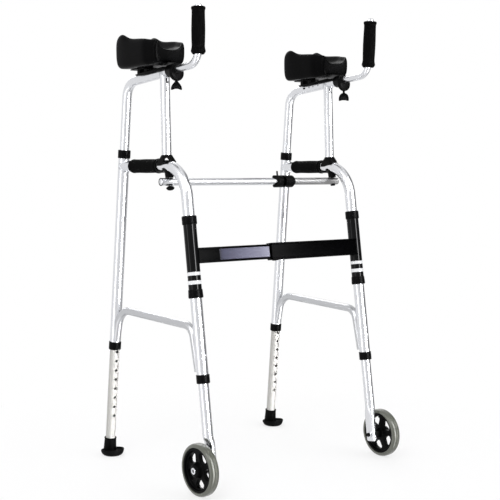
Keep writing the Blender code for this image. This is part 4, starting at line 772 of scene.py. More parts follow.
def collars():
    collar("front_mouth_collar", "front_leg_collar", front_leg_point(FRONT_COLLAR_Z), FOLD_AXIS, LEG, EXTENSION)
    collar("rear_mouth_collar", "rear_leg_collar", rear_leg_point(REAR_COLLAR_Z), REAR_AXIS, LEG, EXTENSION)
    collar("support_collar", "upper_collar", rear_leg_point(UPPER_COLLAR_Z), -REAR_AXIS, LEG, SUPPORT)


def snap_buttons():
    for which, place, outward in (
        ("front", front_leg_point(FRONT_BUTTON_Z), -FOLD_BACK),
        ("rear", rear_leg_point(REAR_BUTTON_Z), REAR_FORWARD),
    ):
        tip = LEG + 0.0028
        dome = [(0, tip), (0.0012, tip - 0.0001), (0.0022, tip - 0.0004), (0.0030, tip - 0.0010)]
        profile = dome + [(0.0034, tip - 0.0018), (0.0035, tip - 0.0026), (0.0035, LEG - 0.0012), (0, LEG - 0.0012)]
        button = turn(profile, place, outward, 40)
        node = f"{which}_snap_button"
        settle(button, f"{which}_button_dome", f"{which}_button", STEEL, "bright_steel", node)


def rear_inner_tube():
    ends = [rear_leg_point(0.0096), rear_leg_point(0.500)]
    inner = draw_tube(ends, [], EXTENSION, 0.0013, 56)
    start = rear_leg_point(REAR_BUTTON_Z)
    holes = []
    for index in range(-9, 3):
        place = start + REAR_AXIS * HOLE_PITCH * index
        holes.append(rod(place + REAR_FORWARD * 0.006, place + REAR_FORWARD * 0.02, 0.0040, 24))
    cut(inner, join(*holes))
    draw_grain(inner, ends, OUTBOARD)
    settle(inner, "rear_inner_tube", "rear_leg", INNER_METAL_WITH_PAINTED_SHADE, "tube_aluminium", "rear_extension")


def press_ring(piece, before, after):
    """Moves the selected ring from one pressed section to the next, each a rounded box."""
    level, half_out, half_back, shift, power = before
    centre = front_leg_point(level, shift)
    goal_level, goal_out, goal_back, goal_shift, goal_power = after
    goal = front_leg_point(goal_level, goal_shift)
    form = bmesh.from_edit_mesh(piece.data)
    for vert in form.verts:
        if not vert.select:
            continue
        arm = vert.co - centre
        shares = (arm.dot(OUTBOARD) / half_out, arm.dot(FOLD_BACK) / half_back)
        angle = math.atan2(*[math.copysign(abs(share) ** (power / 2), share) for share in reversed(shares)])
        out, back = [
            math.copysign(abs(part) ** (2 / goal_power), part) for part in (math.cos(angle), math.sin(angle))
        ]
        vert.co = goal + OUTBOARD * out * goal_out + FOLD_BACK * back * goal_back
    bmesh.update_edit_mesh(piece.data)


def front_inner_tube():
    """The inner tube, and its foot, pressed flat on the outboard side to carry the axle."""
    ends = [front_leg_point(0.134), front_leg_point(0.492)]
    inner = draw_tube(ends, [], EXTENSION, 0.0013, 56)
    start = front_leg_point(FRONT_BUTTON_Z)
    holes = []
    for index in range(6):
        place = start + FOLD_AXIS * HOLE_PITCH * index
        holes.append(rod(place - FOLD_BACK * 0.006, place - FOLD_BACK * 0.02, 0.0040, 24))
    cut(inner, join(*holes))
    # Height, half widths outboard and fore-and-aft, shift outboard, and squareness of each section
    sections = [
        (0.1340, 0.0127, 0.0127, 0.0000, 2.0), (0.1310, 0.0124, 0.0129, -0.0003, 2.1),
        (0.1275, 0.0115, 0.0132, -0.0011, 2.3), (0.1235, 0.0100, 0.0137, -0.0022, 2.7),
        (0.1200, 0.0086, 0.0142, -0.0030, 3.1), (0.1165, 0.0076, 0.0146, -0.0034, 3.5),
        (0.1120, 0.0071, 0.0149, -0.0035, 3.8), (0.0900, 0.0070, 0.0150, -0.0035, 3.9),
        (0.0510, 0.0070, 0.0150, -0.0035, 3.9), (0.0480, 0.0069, 0.0148, -0.0035, 3.9),
        (0.0462, 0.0065, 0.0140, -0.0035, 3.7), (0.0453, 0.0057, 0.0128, -0.0035, 3.4),
        (0.0450, 0.0044, 0.0110, -0.0035, 3.2),
    ]
    tongue = rod(front_leg_point(0.1370), front_leg_point(0.1340), EXTENSION, 72)
    open_up(tongue)
    pick(tongue, lambda face: face.normal.dot(FOLD_AXIS) < -0.9)
    for before, after in zip(sections, sections[1:]):
        bpy.ops.mesh.extrude_region_move(TRANSFORM_OT_translate={"value": (0, 0, 0)})
        press_ring(tongue, before, after)
    close_up()
    tidy_skin(tongue)
    face = -0.0105
    fuse(tongue, rod(axle_point(face + 0.004), axle_point(face - 0.0015), 0.0100, 56))
    cut(tongue, rod(axle_point(face - 0.01), axle_point(0.012), 0.0043, 40))
    draw_grain(inner, ends, OUTBOARD)
    draw_grain(tongue, ends, OUTBOARD)
    settle(inner, "front_inner_tube", "front_leg", ALUMINIUM, "tube_aluminium", "front_extension")
    settle(tongue, "wheel_tongue", "front_leg", ALUMINIUM, "tube_aluminium")


def rubber_foot():
    turn_back = FRAME_TURN.to_3x3().inverted()
    on_floor = FRAME_TURN.to_3x3() @ (at(0, 0.236, 0) - HINGE_FOOT)
    on_floor.z = 0
    sole_centre = HINGE_FOOT + turn_back @ on_floor
    level = turn_back @ UP
    profile = [
        (0, 0.0090), (0.0200, 0.0090), (0.0235, 0.0096), (0.0258, 0.0112), (0.0272, 0.0136), (0.0282, 0.0156),
        (0.0294, 0.0164), (0.0305, 0.0160), (0.0310, 0.0146), (0.0308, 0.0124), (0.0299, 0.0092), (0.0284, 0.0060),
        (0.0264, 0.0033), (0.0240, 0.0014), (0.0213, 0.0003), (0.0200, 0), (0.0186, 0), (0.0181, 0.0010),
        (0.0168, 0.0010), (0.0163, 0), (0.0128, 0), (0.0123, 0.0010), (0.0110, 0.0010), (0.0105, 0), (0, 0),
    ]
    sole = turn(profile, sole_centre, level, 72)
    # The sole's lip curls up higher in front of the leg than behind it
    open_up(sole)
    for reach in (0.0220, 0.0250, 0.0275, 0.0290):
        pick(sole, lambda vert: (vert.co - sole_centre).cross(level).length > reach, "VERT")
        bpy.ops.transform.rotate(value=math.radians(1.4), orient_axis="X", center_override=sole_centre)
    close_up()
    socket = cone(rear_leg_point(0.004), rear_leg_point(0.0455), 0.0176, 0.0153, 64)
    lip = turn(
        [(0.0140, 0.0465), (0.0157, 0.0465), (0.0163, 0.0455), (0.0163, 0.0440), (0.0156, 0.0430), (0.0140, 0.0430)],
        rear_leg_point(0), REAR_AXIS,
    )
    foot = join(sole, socket, lip)
    mould(foot, 0.0007, 4)
    cut(foot, rod(rear_leg_point(0.009), rear_leg_point(0.06), EXTENSION + GAP, 56))
    settle(foot, "foot_ferrule", "rear_leg", RUBBER, "black_rubber", "rubber_foot", angle=60)


# Wheel

def tyre():
    profile = [
        (0.0528, 0.0105), (0.0532, 0.0119), (0.0540, 0.0125), (0.0552, 0.0125), (0.0557, 0.0121),
        (0.0563, 0.0120), (0.0580, 0.0117), (0.0596, 0.0108), (0.0608, 0.0095), (0.0617, 0.0079),
        (0.0622, 0.0062), (0.0625, 0.0040), (0.0625, 0.0006), (0.0624, 0.0003),
    ]
    profile += [(radius, -height) for radius, height in reversed(profile)]
    ring = turn(profile, axle_point(WHEEL_OUT), OUTBOARD, 120)
    settle(ring, "tyre_ring", "wheel", TYRE, "grey_tyre", "tyre", angle=30)


def window_outline(steps=5):
    """A rounded window of the disc, narrow at the hub."""
    corners = [
        (0.0448, math.radians(-28.5)), (0.0448, math.radians(28.5)),
        (0.0212, math.radians(13.0)), (0.0212, math.radians(-13.0)),
    ]
    places = [Vector((r * math.cos(a), r * math.sin(a), 0)) for r, a in corners]
    outline = []
    for index, radius in enumerate((0.0048, 0.0048, 0.0025, 0.0025)):
        before, here, after = places[index - 1], places[index], places[(index + 1) % 4]
        start, centre, axis, angle = corner_arc(before, here, after, radius)
        arm = start - centre
        outline += [centre + Matrix.Rotation(angle * i / steps, 3, axis) @ arm for i in range(steps + 1)]
        if index == 0:
            # The outer side of the window follows the rim
            for share in (-0.5, 0, 0.5):
                outline.append(Vector((0.0442 * math.cos(share * 0.7), 0.0442 * math.sin(share * 0.7), 0)))
    return [(point.x, point.y) for point in outline]


def wheel_disc(side, phase):
    """The moulded disc, whose hub stands proud of the rim, turned to where its wheel has rolled."""
    place = axle_point(WHEEL_OUT)
    hub_inner = -0.0269
    profile = [
        (0.0525, 0.0104), (0.0516, 0.0112), (0.0490, 0.0112), (0.0478, 0.0104), (0.0474, 0.0075), (0.0467, 0.0056),
        (0.0455, 0.0046), (0.0210, 0.0044), (0.0190, 0.0054), (0.0174, 0.0080), (0.0162, 0.0120), (0.0154, 0.0150),
        (0.0146, 0.0172), (0.0128, 0.0184), (0.0112, 0.0186), (0.0103, HUB_OUT), (0.0044, HUB_OUT),
        (0.0044, hub_inner), (0.0100, hub_inner), (0.0105, -0.0260), (0.0114, -0.0120), (0.0130, -0.0076),
        (0.0150, -0.0070), (0.0180, -0.0059), (0.0455, -0.0057), (0.0467, -0.0065), (0.0474, -0.0080),
        (0.0478, -0.0104), (0.0490, -0.0112), (0.0516, -0.0112), (0.0525, -0.0104),
    ]
    disc = turn(profile, place, OUTBOARD, 120)
    windows = []
    for index in range(5):
        spin = Matrix.Rotation(math.radians(phase) + 2 * math.pi * index / 5, 3, Vector((1, 0, 0)))
        windows.append(cut_plate(window_outline(), 0.016, place - OUTBOARD * 0.0004, spin @ Vector((0, 1, 0)), spin @ UP))
    cut(disc, join(*windows))
    round_edges(disc, 0.0006, 3, 50)
    settle(disc, "five_window_disc", "wheel", NYLON, "black_plastic", "wheel_disc", sides=(side,), angle=30)


def axle():
    face = WHEEL_OUT + HUB_OUT + GAP
    nut_face = -0.0120 - GAP
    profile = [
        (0, face - 0.0010), (0.0034, face - 0.0010), (0.0037, face + 0.0010), (0.0044, face + 0.0016),
        (0.0054, face + 0.0014), (0.0062, face + 0.0010), (0.0079, face + 0.0008), (0.0079, face),
        (0.0040, face), (0.0040, nut_face), (0.0075, nut_face), (0.0075, nut_face - 0.0010),
        (0.0040, nut_face - 0.0010), (0.0038, nut_face - 0.0044), (0, nut_face - 0.0046),
    ]
    bolt = turn(profile, axle_point(), OUTBOARD, 48)
    round_edges(bolt, 0.0002, 2)
    # The black disc in the bolt head's socket is painted shade, standing for the dark hex socket
    plug = rod(axle_point(face - 0.0009), axle_point(face + 0.0002), 0.0033, 32)
    nut = rod(axle_point(nut_face - 0.0008), axle_point(nut_face - 0.0052), 0.0058, 6)
    round_edges(nut, 0.0006, 3)
    settle(bolt, "axle", "front_leg", STEEL, "bright_steel", "axle_bolt")
    settle(plug, "axle_socket_shade_disc", "front_leg", NYLON, "black_plastic")
    settle(nut, "axle_nut", "front_leg", NYLON, "black_plastic")


# Sleeves and crossbar

def sleeve():
    middle = front_leg_point((SLEEVE_TOP_Z + SLEEVE_BOTTOM_Z) / 2)
    half = (SLEEVE_TOP_Z - SLEEVE_BOTTOM_Z) / 2 / math.cos(FRONT_LEAN)
    bore = LEG + GAP
    skin = bore + 0.0014
    body = turn([(bore, half), (skin, half), (skin, -half), (bore, -half)], middle, FOLD_AXIS, 72)
    settle_root(body, "gloss_sleeve", ENAMEL, "black_gloss", "sleeve")
    ring = skin + 0.0020
    top = [
        (skin + 0.0001, half + 0.0105), (ring - 0.0016, half + 0.0105), (ring - 0.0004, half + 0.0096),
        (ring, half + 0.0080), (ring, half - 0.0085), (ring - 0.0005, half - 0.0100), (skin + 0.0001, half - 0.0105),
    ]
    low = [
        (skin + 0.0001, 0.0105 - half), (ring - 0.0012, 0.0100 - half), (ring - 0.0007, 0.0080 - half),
        (ring, -0.0052 - half), (ring, -0.0080 - half), (ring - 0.0006, -0.0100 - half),
        (skin + 0.0001, -0.0105 - half),
    ]
    for name, profile in (("upper", top), ("lower", low)):
        band = turn(profile, middle, FOLD_AXIS, 72)
        round_edges(band, 0.0004, 3)
        settle_root(band, f"sleeve_{name}_ring", NYLON, "black_gloss")
    lean = math.cos(FRONT_LEAN)
    for name, start, end in (("upper", 0.5121, 0.5200), ("lower", 0.4910, 0.4998)):
        high, deep = (end - middle.z) / lean, (start - middle.z) / lean
        film = [(skin + 0.00002, high), (skin + 0.00018, high), (skin + 0.00018, deep), (skin + 0.00002, deep)]
        band = turn(film, middle, FOLD_AXIS, 72)
        settle_root(band, f"sleeve_{name}_band", WHITE_FILM, "black_gloss")


def settle_root(piece, name, finish, slot, *nodes):
    """Dresses a sleeve's piece, which has no toe-out, and its twin on the left."""
    put_down(piece)
    smooth(piece)
    only(piece)
    bpy.ops.object.duplicate()
    twin = mirror(bpy.context.active_object)
    for side, made in (("right", piece), ("left", twin)):
        dress(made, f"{name}_{side}", "crossbar", finish, [f"{node}_{side}" for node in nodes])


def bar_section(height, depth, rim, recess, corner):
    """Cross-section of the crossbar: a box whose long edges stand proud as rounded rims."""
    h, d = height / 2, depth / 2
    quarter = [
        (d - recess, 0.0), (d - recess, h - rim - recess * 0.6), (d, h - rim), (d, h - corner),
        (d - corner * 0.3, h - corner * 0.3), (d - corner, h),
    ]
    top = quarter + [(-x, y) for x, y in reversed(quarter)]
    return top + [(-x, -y) for x, y in top[1:-1]]


def crossbar_half(start_x, end_x, height, depth):
    """The bar's cross-section drawn out from one end to the other."""
    centre = crossbar_centre((start_x + end_x) / 2)
    outline = bar_section(height, depth, 0.0045, 0.0015, 0.0016)
    return cut_plate(outline, end_x - start_x, centre, -FOLD_BACK, FOLD_AXIS)


def crossbar():
    splice, overlap = -0.032, 0.060
    skin = LEG + GAP + 0.0014 + GAP
    right = crossbar_half(-HALF_SPACING + 0.002, splice + overlap, CROSSBAR_HEIGHT, CROSSBAR_DEPTH + 0.003)
    left = crossbar_half(splice, HALF_SPACING - 0.002, CROSSBAR_HEIGHT + 0.006, CROSSBAR_DEPTH + 0.009)
    inside = crossbar_half(splice - 0.004, splice + overlap + 0.006, CROSSBAR_HEIGHT + 0.0006, CROSSBAR_DEPTH + 0.0036)
    cut(left, inside)
    for half, side in ((right, -1), (left, 1)):
        low = front_leg_point(CROSSBAR_Z - 0.05)
        high = front_leg_point(CROSSBAR_Z + 0.05)
        low.x, high.x = side * HALF_SPACING, side * HALF_SPACING
        cut(half, rod(low, high, skin, 72))
        round_edges(half, 0.0005, 2, 40)
    set_down(right, "crossbar_inner_half", "crossbar", BAR_COAT, "black_gloss", "crossbar_right_half")
    set_down(left, "crossbar_outer_half", "crossbar", BAR_COAT, "black_gloss", "crossbar_left_half")
    front = CROSSBAR_DEPTH / 2 + 0.0001
    panel_x = (-0.191, -0.038)
    middle = crossbar_centre(sum(panel_x) / 2) - FOLD_BACK * front
    panel = block(middle, (panel_x[1] - panel_x[0], 0.0003, 0.0262), -FRONT_LEAN, 0.0001, 1)
    set_down(panel, "crossbar_blank_panel", "crossbar", GREY_FILM_AND_PAINTED_REFLECTION, "black_gloss")
    under = crossbar_centre(-0.016) - FOLD_AXIS * (CROSSBAR_HEIGHT / 2 + 0.0032)
    catch = block(under, (0.011, 0.014, 0.0034), -FRONT_LEAN, 0.0012)
    set_down(catch, "crossbar_splice_rivet", "crossbar", NYLON, "black_gloss")


# Saddle and stay

def saddle():
    """A seat that straddles the run below the post, a ring and a lip round the run, and the stay's stem."""
    axis = (post_point(0.9) - post_point(0.8)).normalized()
    skirt = turn(
        [(0, 0.0262), (0.0128, 0.0262), (0.0200, 0.0146), (0.0245, 0.0070), (0.0262, 0), (0, 0)],
        post_point(0.7730), axis, 72,
    )
    across = Vector((0, 1, 0))
    sides = cut_plate(
        [(-0.0560, 0.81), (-0.0560, 0.7815), (-0.0482, 0.7822), (-0.0360, 0.7806), (-0.0268, 0.7768), (-0.0166, 0.7728),
         (0.0062, 0.7722), (0.0062, 0.81)],
        0.0345, at(0, 0, 0), across, UP,
    )
    work(skirt, "BOOLEAN", object=sides, operation="INTERSECT", solver="EXACT")
    bpy.data.objects.remove(sides, do_unlink=True)
    ring = turn(
        [(0.0128, 0), (0.0166, 0), (0.0175, 0.0010), (0.0175, 0.0060), (0.0172, 0.0070), (0.0172, 0.0460), (0.0128, 0.0460)],
        at(0, 0.0062, RUN_Z), FORWARD, 72,
    )
    notch = cut_plate(
        [(0.0018, 0.80), (0.0018, 0.7650), (-0.0010, 0.7612), (-0.0070, 0.7590), (-0.0235, 0.7590), (-0.0255, 0.7672),
         (-0.0295, 0.7660), (-0.0400, 0.7600), (-0.0600, 0.7600), (-0.0600, 0.80)],
        0.0500, at(0, 0, 0), across, UP,
    )
    cut(ring, notch)
    stem_low = fold_point(STAY_OFFSET, stay_height(STAY_Z + STAY + 2 * GAP))
    stem = cone(stem_low, stem_low + FOLD_AXIS * 0.028, 0.0102, 0.0118, 64)
    fuse(skirt, ring, stem)
    # The seat's opening looks outboard and forward, and shows the post's foot
    outward = Vector((-0.605, -0.796, 0))
    along = Vector((0.796, -0.605, 0))
    window = cut_plate(
        [(-0.0090, -0.0060), (0.0072, -0.0032), (0.0010, 0.0040), (-0.0034, 0.0040)],
        0.1000, post_point(0.7878), along, UP,
    )
    cut(
        skirt, run_core(LEG + GAP), rod(post_point(RUN_Z + 0.006), post_point(0.83), SUPPORT + GAP, 64), window,
        rod(stem_low - FOLD_AXIS * 0.005, stem_low + FOLD_AXIS * 0.012, 0.0033, 32),
    )
    mould(skirt, 0.0007, 3)
    settle(skirt, "run_saddle", "frame", NYLON, "black_plastic", "saddle", angle=60)


def stay_scoop(x, radius=SCOOP_RADIUS, back=0.03):
    centre_x = x - SCOOP_RADIUS + SCOOP_DEPTH
    return rod(stay_place(centre_x, 0, -0.03), stay_place(centre_x, 0, back), radius, 120)


def knuckle(lift, reach):
    low = stay_place(HINGE_X, lift - KNUCKLE_HEIGHT / 2, KNUCKLE_BACK)
    high = stay_place(HINGE_X, lift + KNUCKLE_HEIGHT / 2, KNUCKLE_BACK)
    middle = stay_place(HINGE_X + reach / 2, lift, KNUCKLE_BACK - KNUCKLE_RADIUS + 0.0005)
    web = block(middle, (abs(reach), 2 * KNUCKLE_RADIUS - 0.001, KNUCKLE_HEIGHT), -FRONT_LEAN)
    return rod(low, high, KNUCKLE_RADIUS, 40), web


def pin_bore():
    return rod(stay_place(HINGE_X, -0.03, KNUCKLE_BACK), stay_place(HINGE_X, 0.03, KNUCKLE_BACK), 0.0022, 32)


def end_plug(x, outward):
    """The domed plug in a stay tube's end."""
    profile = [
        (0, 0.0030), (0.0030, 0.0028), (0.0060, 0.0020), (0.0080, 0.0009), (0.0090, 0),
        (0.0090, -0.0004), (0.0080, -0.0004), (0.0080, -0.0060), (0, -0.0060),
    ]
    return turn(profile, stay_place(x), Vector((outward, 0, 0)), 48)


def stay():
    bolt_x = HALF_SPACING + STAY_OFFSET * math.sin(TOE_OUT)
    left_end, right_start = HINGE_X - 0.0275, -bolt_x - 0.028
    body_left = HINGE_X - 0.0030
    band = HINGE_RADIUS - 0.0030
    long_ends = [stay_place(right_start + 0.0030), stay_place(left_end + SCOOP_DEPTH + 0.009)]
    long_tube = draw_tube(long_ends, [], STAY, 0.0012, 48)
    cut(long_tube, rod(stay_place(-bolt_x, -0.02), stay_place(-bolt_x, 0.02), 0.0033, 32))
    draw_grain(long_tube, long_ends, FOLD_AXIS)
    set_down(long_tube, "stay_long", "stay_long", ALUMINIUM, "tube_aluminium", "stay_tube_long")
    set_down(end_plug(right_start + 0.0030, -1), "stay_end_plug_right", "stay_long", ALUMINIUM, "tube_aluminium")
    # A thin black ring round the plug at the tube's end: painted shadow, the dark line where plug and tube meet
    rim = turn(
        [(0.0088, 0.0009), (0.0096, 0.0007), (0.0098, 0.0002), (0.0098, -0.0007), (0.0088, -0.0007)],
        stay_place(right_start + 0.0022), Vector((-1, 0, 0)), 48,
    )
    set_down(rim, "stay_end_shadow_ring_right", "stay_long", NYLON, "black_plastic")
    band_start = left_end + SCOOP_DEPTH + 0.003
    band_end = body_left + SCOOP_DEPTH
    crescent = rod(stay_place(band_start), stay_place(band_end), band, 64)
    nose = stay_scoop(body_left, SCOOP_RADIUS - 2 * GAP)
    work(crescent, "BOOLEAN", object=nose, operation="INTERSECT", solver="EXACT")
    bpy.data.objects.remove(nose, do_unlink=True)
    draw_grain(crescent, long_ends, FOLD_AXIS)
    set_down(crescent, "stay_hinge_crescent", "stay_long", ALUMINIUM, "tube_aluminium")
    body = rod(stay_place(left_end), stay_place(HINGE_X - 0.0065), HINGE_RADIUS, 72)
    fuse(body, *knuckle(0.0, -0.014))
    cut(
        body, stay_scoop(left_end),
        rod(stay_place(left_end - 0.01), stay_place(HINGE_X + 0.006), band + GAP, 64), pin_bore(),
    )
    round_edges(body, 0.0006, 3, 40)
    set_down(body, "stay_fishmouth_collar", "stay_long", NYLON, "black_plastic", "stay_hinge_collar")
    low = stay_place(HINGE_X, -1.5 * KNUCKLE_HEIGHT, KNUCKLE_BACK)
    high = stay_place(HINGE_X, 1.5 * KNUCKLE_HEIGHT, KNUCKLE_BACK)
    pin = round_edges(rod(low, high, 0.0020, 32), 0.0004, 2)
    set_down(pin, "stay_pin", "stay_long", STEEL, "bright_steel", "stay_hinge_pin")
    short_stay(bolt_x, body_left)


def short_stay(bolt_x, body_left):
    body_right = body_left + 0.0395
    start = body_left + SCOOP_DEPTH + 0.010
    ends = [stay_place(start), stay_place(bolt_x + 0.018 - 0.0030)]
    short = draw_tube(ends, [], STAY, 0.0012, 48)
    cut(short, rod(stay_place(bolt_x, -0.02), stay_place(bolt_x, 0.02), 0.0033, 32))
    draw_grain(short, ends, FOLD_AXIS)
    set_down(short, "stay_short", "stay_short", STAY_METAL_WITH_PAINTED_SHADE, "tube_aluminium", "stay_tube_short")
    set_down(end_plug(bolt_x + 0.015, 1), "stay_end_plug_left", "stay_short", ALUMINIUM, "tube_aluminium")
    half = 0.0395 / 2
    profile = [
        (0, half), (STAY + 0.0020, half), (HINGE_RADIUS - 0.0030, half - 0.0024), (HINGE_RADIUS, half - 0.0062),
        (HINGE_RADIUS, -half), (0, -half),
    ]
    body = turn(profile, stay_place((body_left + body_right) / 2), Vector((1, 0, 0)), 72)
    cut(body, stay_scoop(body_left, SCOOP_RADIUS, 0.0134))
    slot = block(stay_place(HINGE_X, 0, 0.0231), (0.012, 0.020, KNUCKLE_HEIGHT + 2 * GAP), -FRONT_LEAN)
    cut(body, slot)
    for lift in (-1, 1):
        fuse(body, *knuckle(lift * (KNUCKLE_HEIGHT + GAP), 0.014))
    apex = body_left + SCOOP_DEPTH + GAP
    cut(
        body,
        rod(stay_place(body_left - 0.02), stay_place(apex), HINGE_RADIUS - 0.0030 + GAP, 64),
        rod(stay_place(start - GAP), stay_place(body_right + 0.01), STAY + GAP, 48), pin_bore(),
    )
    round_edges(body, 0.0006, 3, 40)
    set_down(body, "stay_housing", "stay_short", NYLON, "black_plastic", "stay_hinge_housing")
    foot = -STAY - GAP
    profile = [
        (0, STAY - GAP), (0.0030, STAY - GAP), (0.0030, foot), (0.0065, foot), (0.0065, foot - 0.0022),
        (0.0057, foot - 0.0030), (0, foot - 0.0030),
    ]
    bolt = turn(profile, stay_place(bolt_x), FOLD_AXIS, 40)
    set_down(bolt, "stay_left_bolt", "stay_short", NYLON, "black_plastic", "stay_bolt_left")


def stay_knob():
    centre = fold_point(STAY_OFFSET, stay_height(STAY_Z))
    foot = -STAY - 2 * GAP
    bolt = rod(centre + FOLD_AXIS * (foot - 0.0080), centre + FOLD_AXIS * (STAY + 0.010), 0.0030, 32)
    settle(bolt, "stay_steel_bolt", "frame", STEEL, "bright_steel", "stay_bolt", sides=("right",))
    profile = [
        (0.0033, foot), (0.0050, foot), (0.0078, foot - 0.0018), (0.0104, foot - 0.0044), (0.0104, foot - 0.0062),
        (0.0080, foot - 0.0088), (0.0050, foot - 0.0106), (0.0033, foot - 0.0108),
    ]
    knob = turn(profile, centre, FOLD_AXIS, 60)
    flutes = []
    for index in range(5):
        arm = Matrix.Rotation(math.radians(20 + 72 * index), 3, FOLD_AXIS) @ FOLD_BACK * 0.0126
        flutes.append(rod(centre + arm + FOLD_AXIS * (foot + 0.002), centre + arm + FOLD_AXIS * (foot - 0.013), 0.0040, 24))
    cut(knob, join(*flutes))
    round_edges(knob, 0.0004, 2, 45)
    piece = settle(knob, "stay_knob", "frame", NYLON, "black_plastic", sides=("right",))["right"]
    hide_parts("stay_knob_nut")


# Grips

def handle_grip():
    bore = LEG + GAP
    length = 0.1235
    profile = [
        (bore, length), (0.0148, length), (0.0158, length - 0.0012), (0.0176, length - 0.0072),
        (0.0178, length - 0.0090), (0.0173, length - 0.0130), (0.0170, length * 0.75), (0.0175, length * 0.5),
        (0.0172, length * 0.25), (0.0170, 0.0180), (0.0174, 0.0125), (0.0184, 0.0050), (0.0185, 0.0030),
        (0.0178, 0.0006), (0.0168, 0), (bore, 0),
    ]
    grip = turn(profile, at(0, 0.0065, RUN_Z), Vector((0, 1, 0)), 72)
    round_edges(grip, 0.0006, 3, 25)
    settle(grip, "run_foam_grip", "frame", FOAM, "black_foam", "handle_grip", fill=1.0)


def bar_line(side):
    corner = support_point(BAR_UPRIGHT_Y[side])
    tip = at(0, BAR_TIP_Y[side], BAR_TIP_Z[side])
    return corner, tip, (tip - corner).normalized()


def handle_bar(side):
    corner, tip, axis = bar_line(side)
    corners = [support_point(SUPPORT_FRONT_Y + 0.070), corner, tip]
    bar = draw_tube(corners, [0.036], 0.0090, 0.0012, 48, 20)
    draw_grain(bar, bend_line(corners, [0.036]), OUTBOARD)
    settle(bar, "bent_bar", "handle", ALUMINIUM, "tube_aluminium", "handle_bar", sides=(side,))
    bush = turn([(0.0085, 0.0300), (0.0102, 0.0300), (0.0102, 0), (0.0085, 0)], corners[0], SUPPORT_AXIS, 48)
    round_edges(bush, 0.0003, 2)
    draw_grain(bush, corners[:2], OUTBOARD)
    settle(bush, "bar_bush", "handle", ALUMINIUM, "tube_aluminium", sides=(side,))
    profile = [
        (0, 0.0040), (0.0030, 0.0038), (0.0058, 0.0031), (0.0076, 0.0020), (0.0084, 0.0006), (0.0086, 0.0000),
        (0.0076, 0.0000), (0.0076, -0.0060), (0, -0.0060),
    ]
    cap = turn(profile, tip, axis, 48)
    draw_grain(cap, [tip - axis * 0.02, tip + axis * 0.02], OUTBOARD)
    settle(cap, "bar_end_cap", "handle", ALUMINIUM, "tube_aluminium", sides=(side,))


def hand_grip(side):
    corner, tip, axis = bar_line(side)
    start = corner + axis * (GRIP_BOTTOM_Z[side] - corner.z) / axis.z
    bore, length = 0.0093, 0.110 if side == "right" else 0.118
    profile = [
        (bore, length), (0.0140, length), (0.0160, length - 0.0008), (0.0169, length - 0.0022),
        (0.0170, length - 0.0050), (0.0164, length - 0.0068), (0.0156, length - 0.0090), (0.0155, length - 0.018),
        (0.0160, length * 0.70), (0.0164, length * 0.5), (0.0160, length * 0.30), (0.0155, 0.0200),
        (0.0160, 0.0140), (0.0174, 0.0082), (0.0175, 0.0066), (0.0165, 0.0040), (0.0132, 0), (0.0115, 0), (0.0115, 0.0020),
    ]
    grip = turn(profile, start, axis, 72)
    hole = draw_tube([support_point(SUPPORT_FRONT_Y), corner, tip + axis * 0.02], [0.036], 0.0093, 0.0, 48, 20)
    cut(grip, hole)
    round_edges(grip, 0.0005, 3, 25)
    settle(grip, "foam_hand_grip", "handle", FOAM, "black_foam", "hand_grip", sides=(side,), fill=1.0)
    cap = turn([(0, 0.0014), (0.0056, 0.0013), (0.0080, 0.0007), (0.0086, 0.0001), (0, 0.0001)], tip, axis, 48)
    settle(cap, "handle_end_cap", "handle", NYLON, "black_plastic", sides=(side,))


def clamp(side):
    y = CLAMP_Y[side]
    front = support_point(y - 0.005)
    back = support_point(y + 0.005)
    centre = at(0, y, CLAMP_DISC_Z)
    face = SUPPORT_AXIS
    profile = [
        (0, 0.0050), (0.0150, 0.0050), (0.0160, 0.0046), (0.0180, 0.0048), (0.0189, 0.0040), (0.0191, 0.0028),
        (0.0191, -0.0028), (0.0189, -0.0040), (0.0176, -0.0050), (0, -0.0050),
    ]
    disc = turn(profile, centre, face, 72)
    open_up(disc)
    pick(disc, lambda part: _on_knurl(part, centre, face))
    bpy.ops.mesh.inset(thickness=0.0003, depth=0.0006, use_individual=True)
    close_up()
    fuse(disc, rod(back - SUPPORT_AXIS * 0.0230, back + SUPPORT_AXIS * 0.004, 0.0155, 64))
    cut(disc, rod(back - SUPPORT_AXIS * 0.033, back - SUPPORT_AXIS * 0.0037, SUPPORT + GAP, 48))
    cut(disc, rod(back - SUPPORT_AXIS * 0.033, front + SUPPORT_AXIS * 0.005, 0.0093, 48))
    cut(disc, rod(centre - UP * 0.0215, centre - UP * 0.008, 0.0033, 24))
    round_edges(disc, 0.0004, 2, 50)
    body = "clamp"
    settle(disc, "bar_clamp", body, NYLON, "black_plastic", "handle_clamp", sides=(side,))
    wing_screw(side)


def _on_knurl(part, centre, axis):
    arm = part.calc_center_median() - centre
    radial = arm - axis * arm.dot(axis)
    if radial.length < 0.0188 or abs(part.normal.dot(axis)) > 0.1:
        return False
    side = axis.orthogonal().normalized()
    angle = math.atan2(radial.dot(axis.cross(side)), radial.dot(side)) % (2 * math.pi)
    return int(angle / math.radians(5)) % 2 == 0


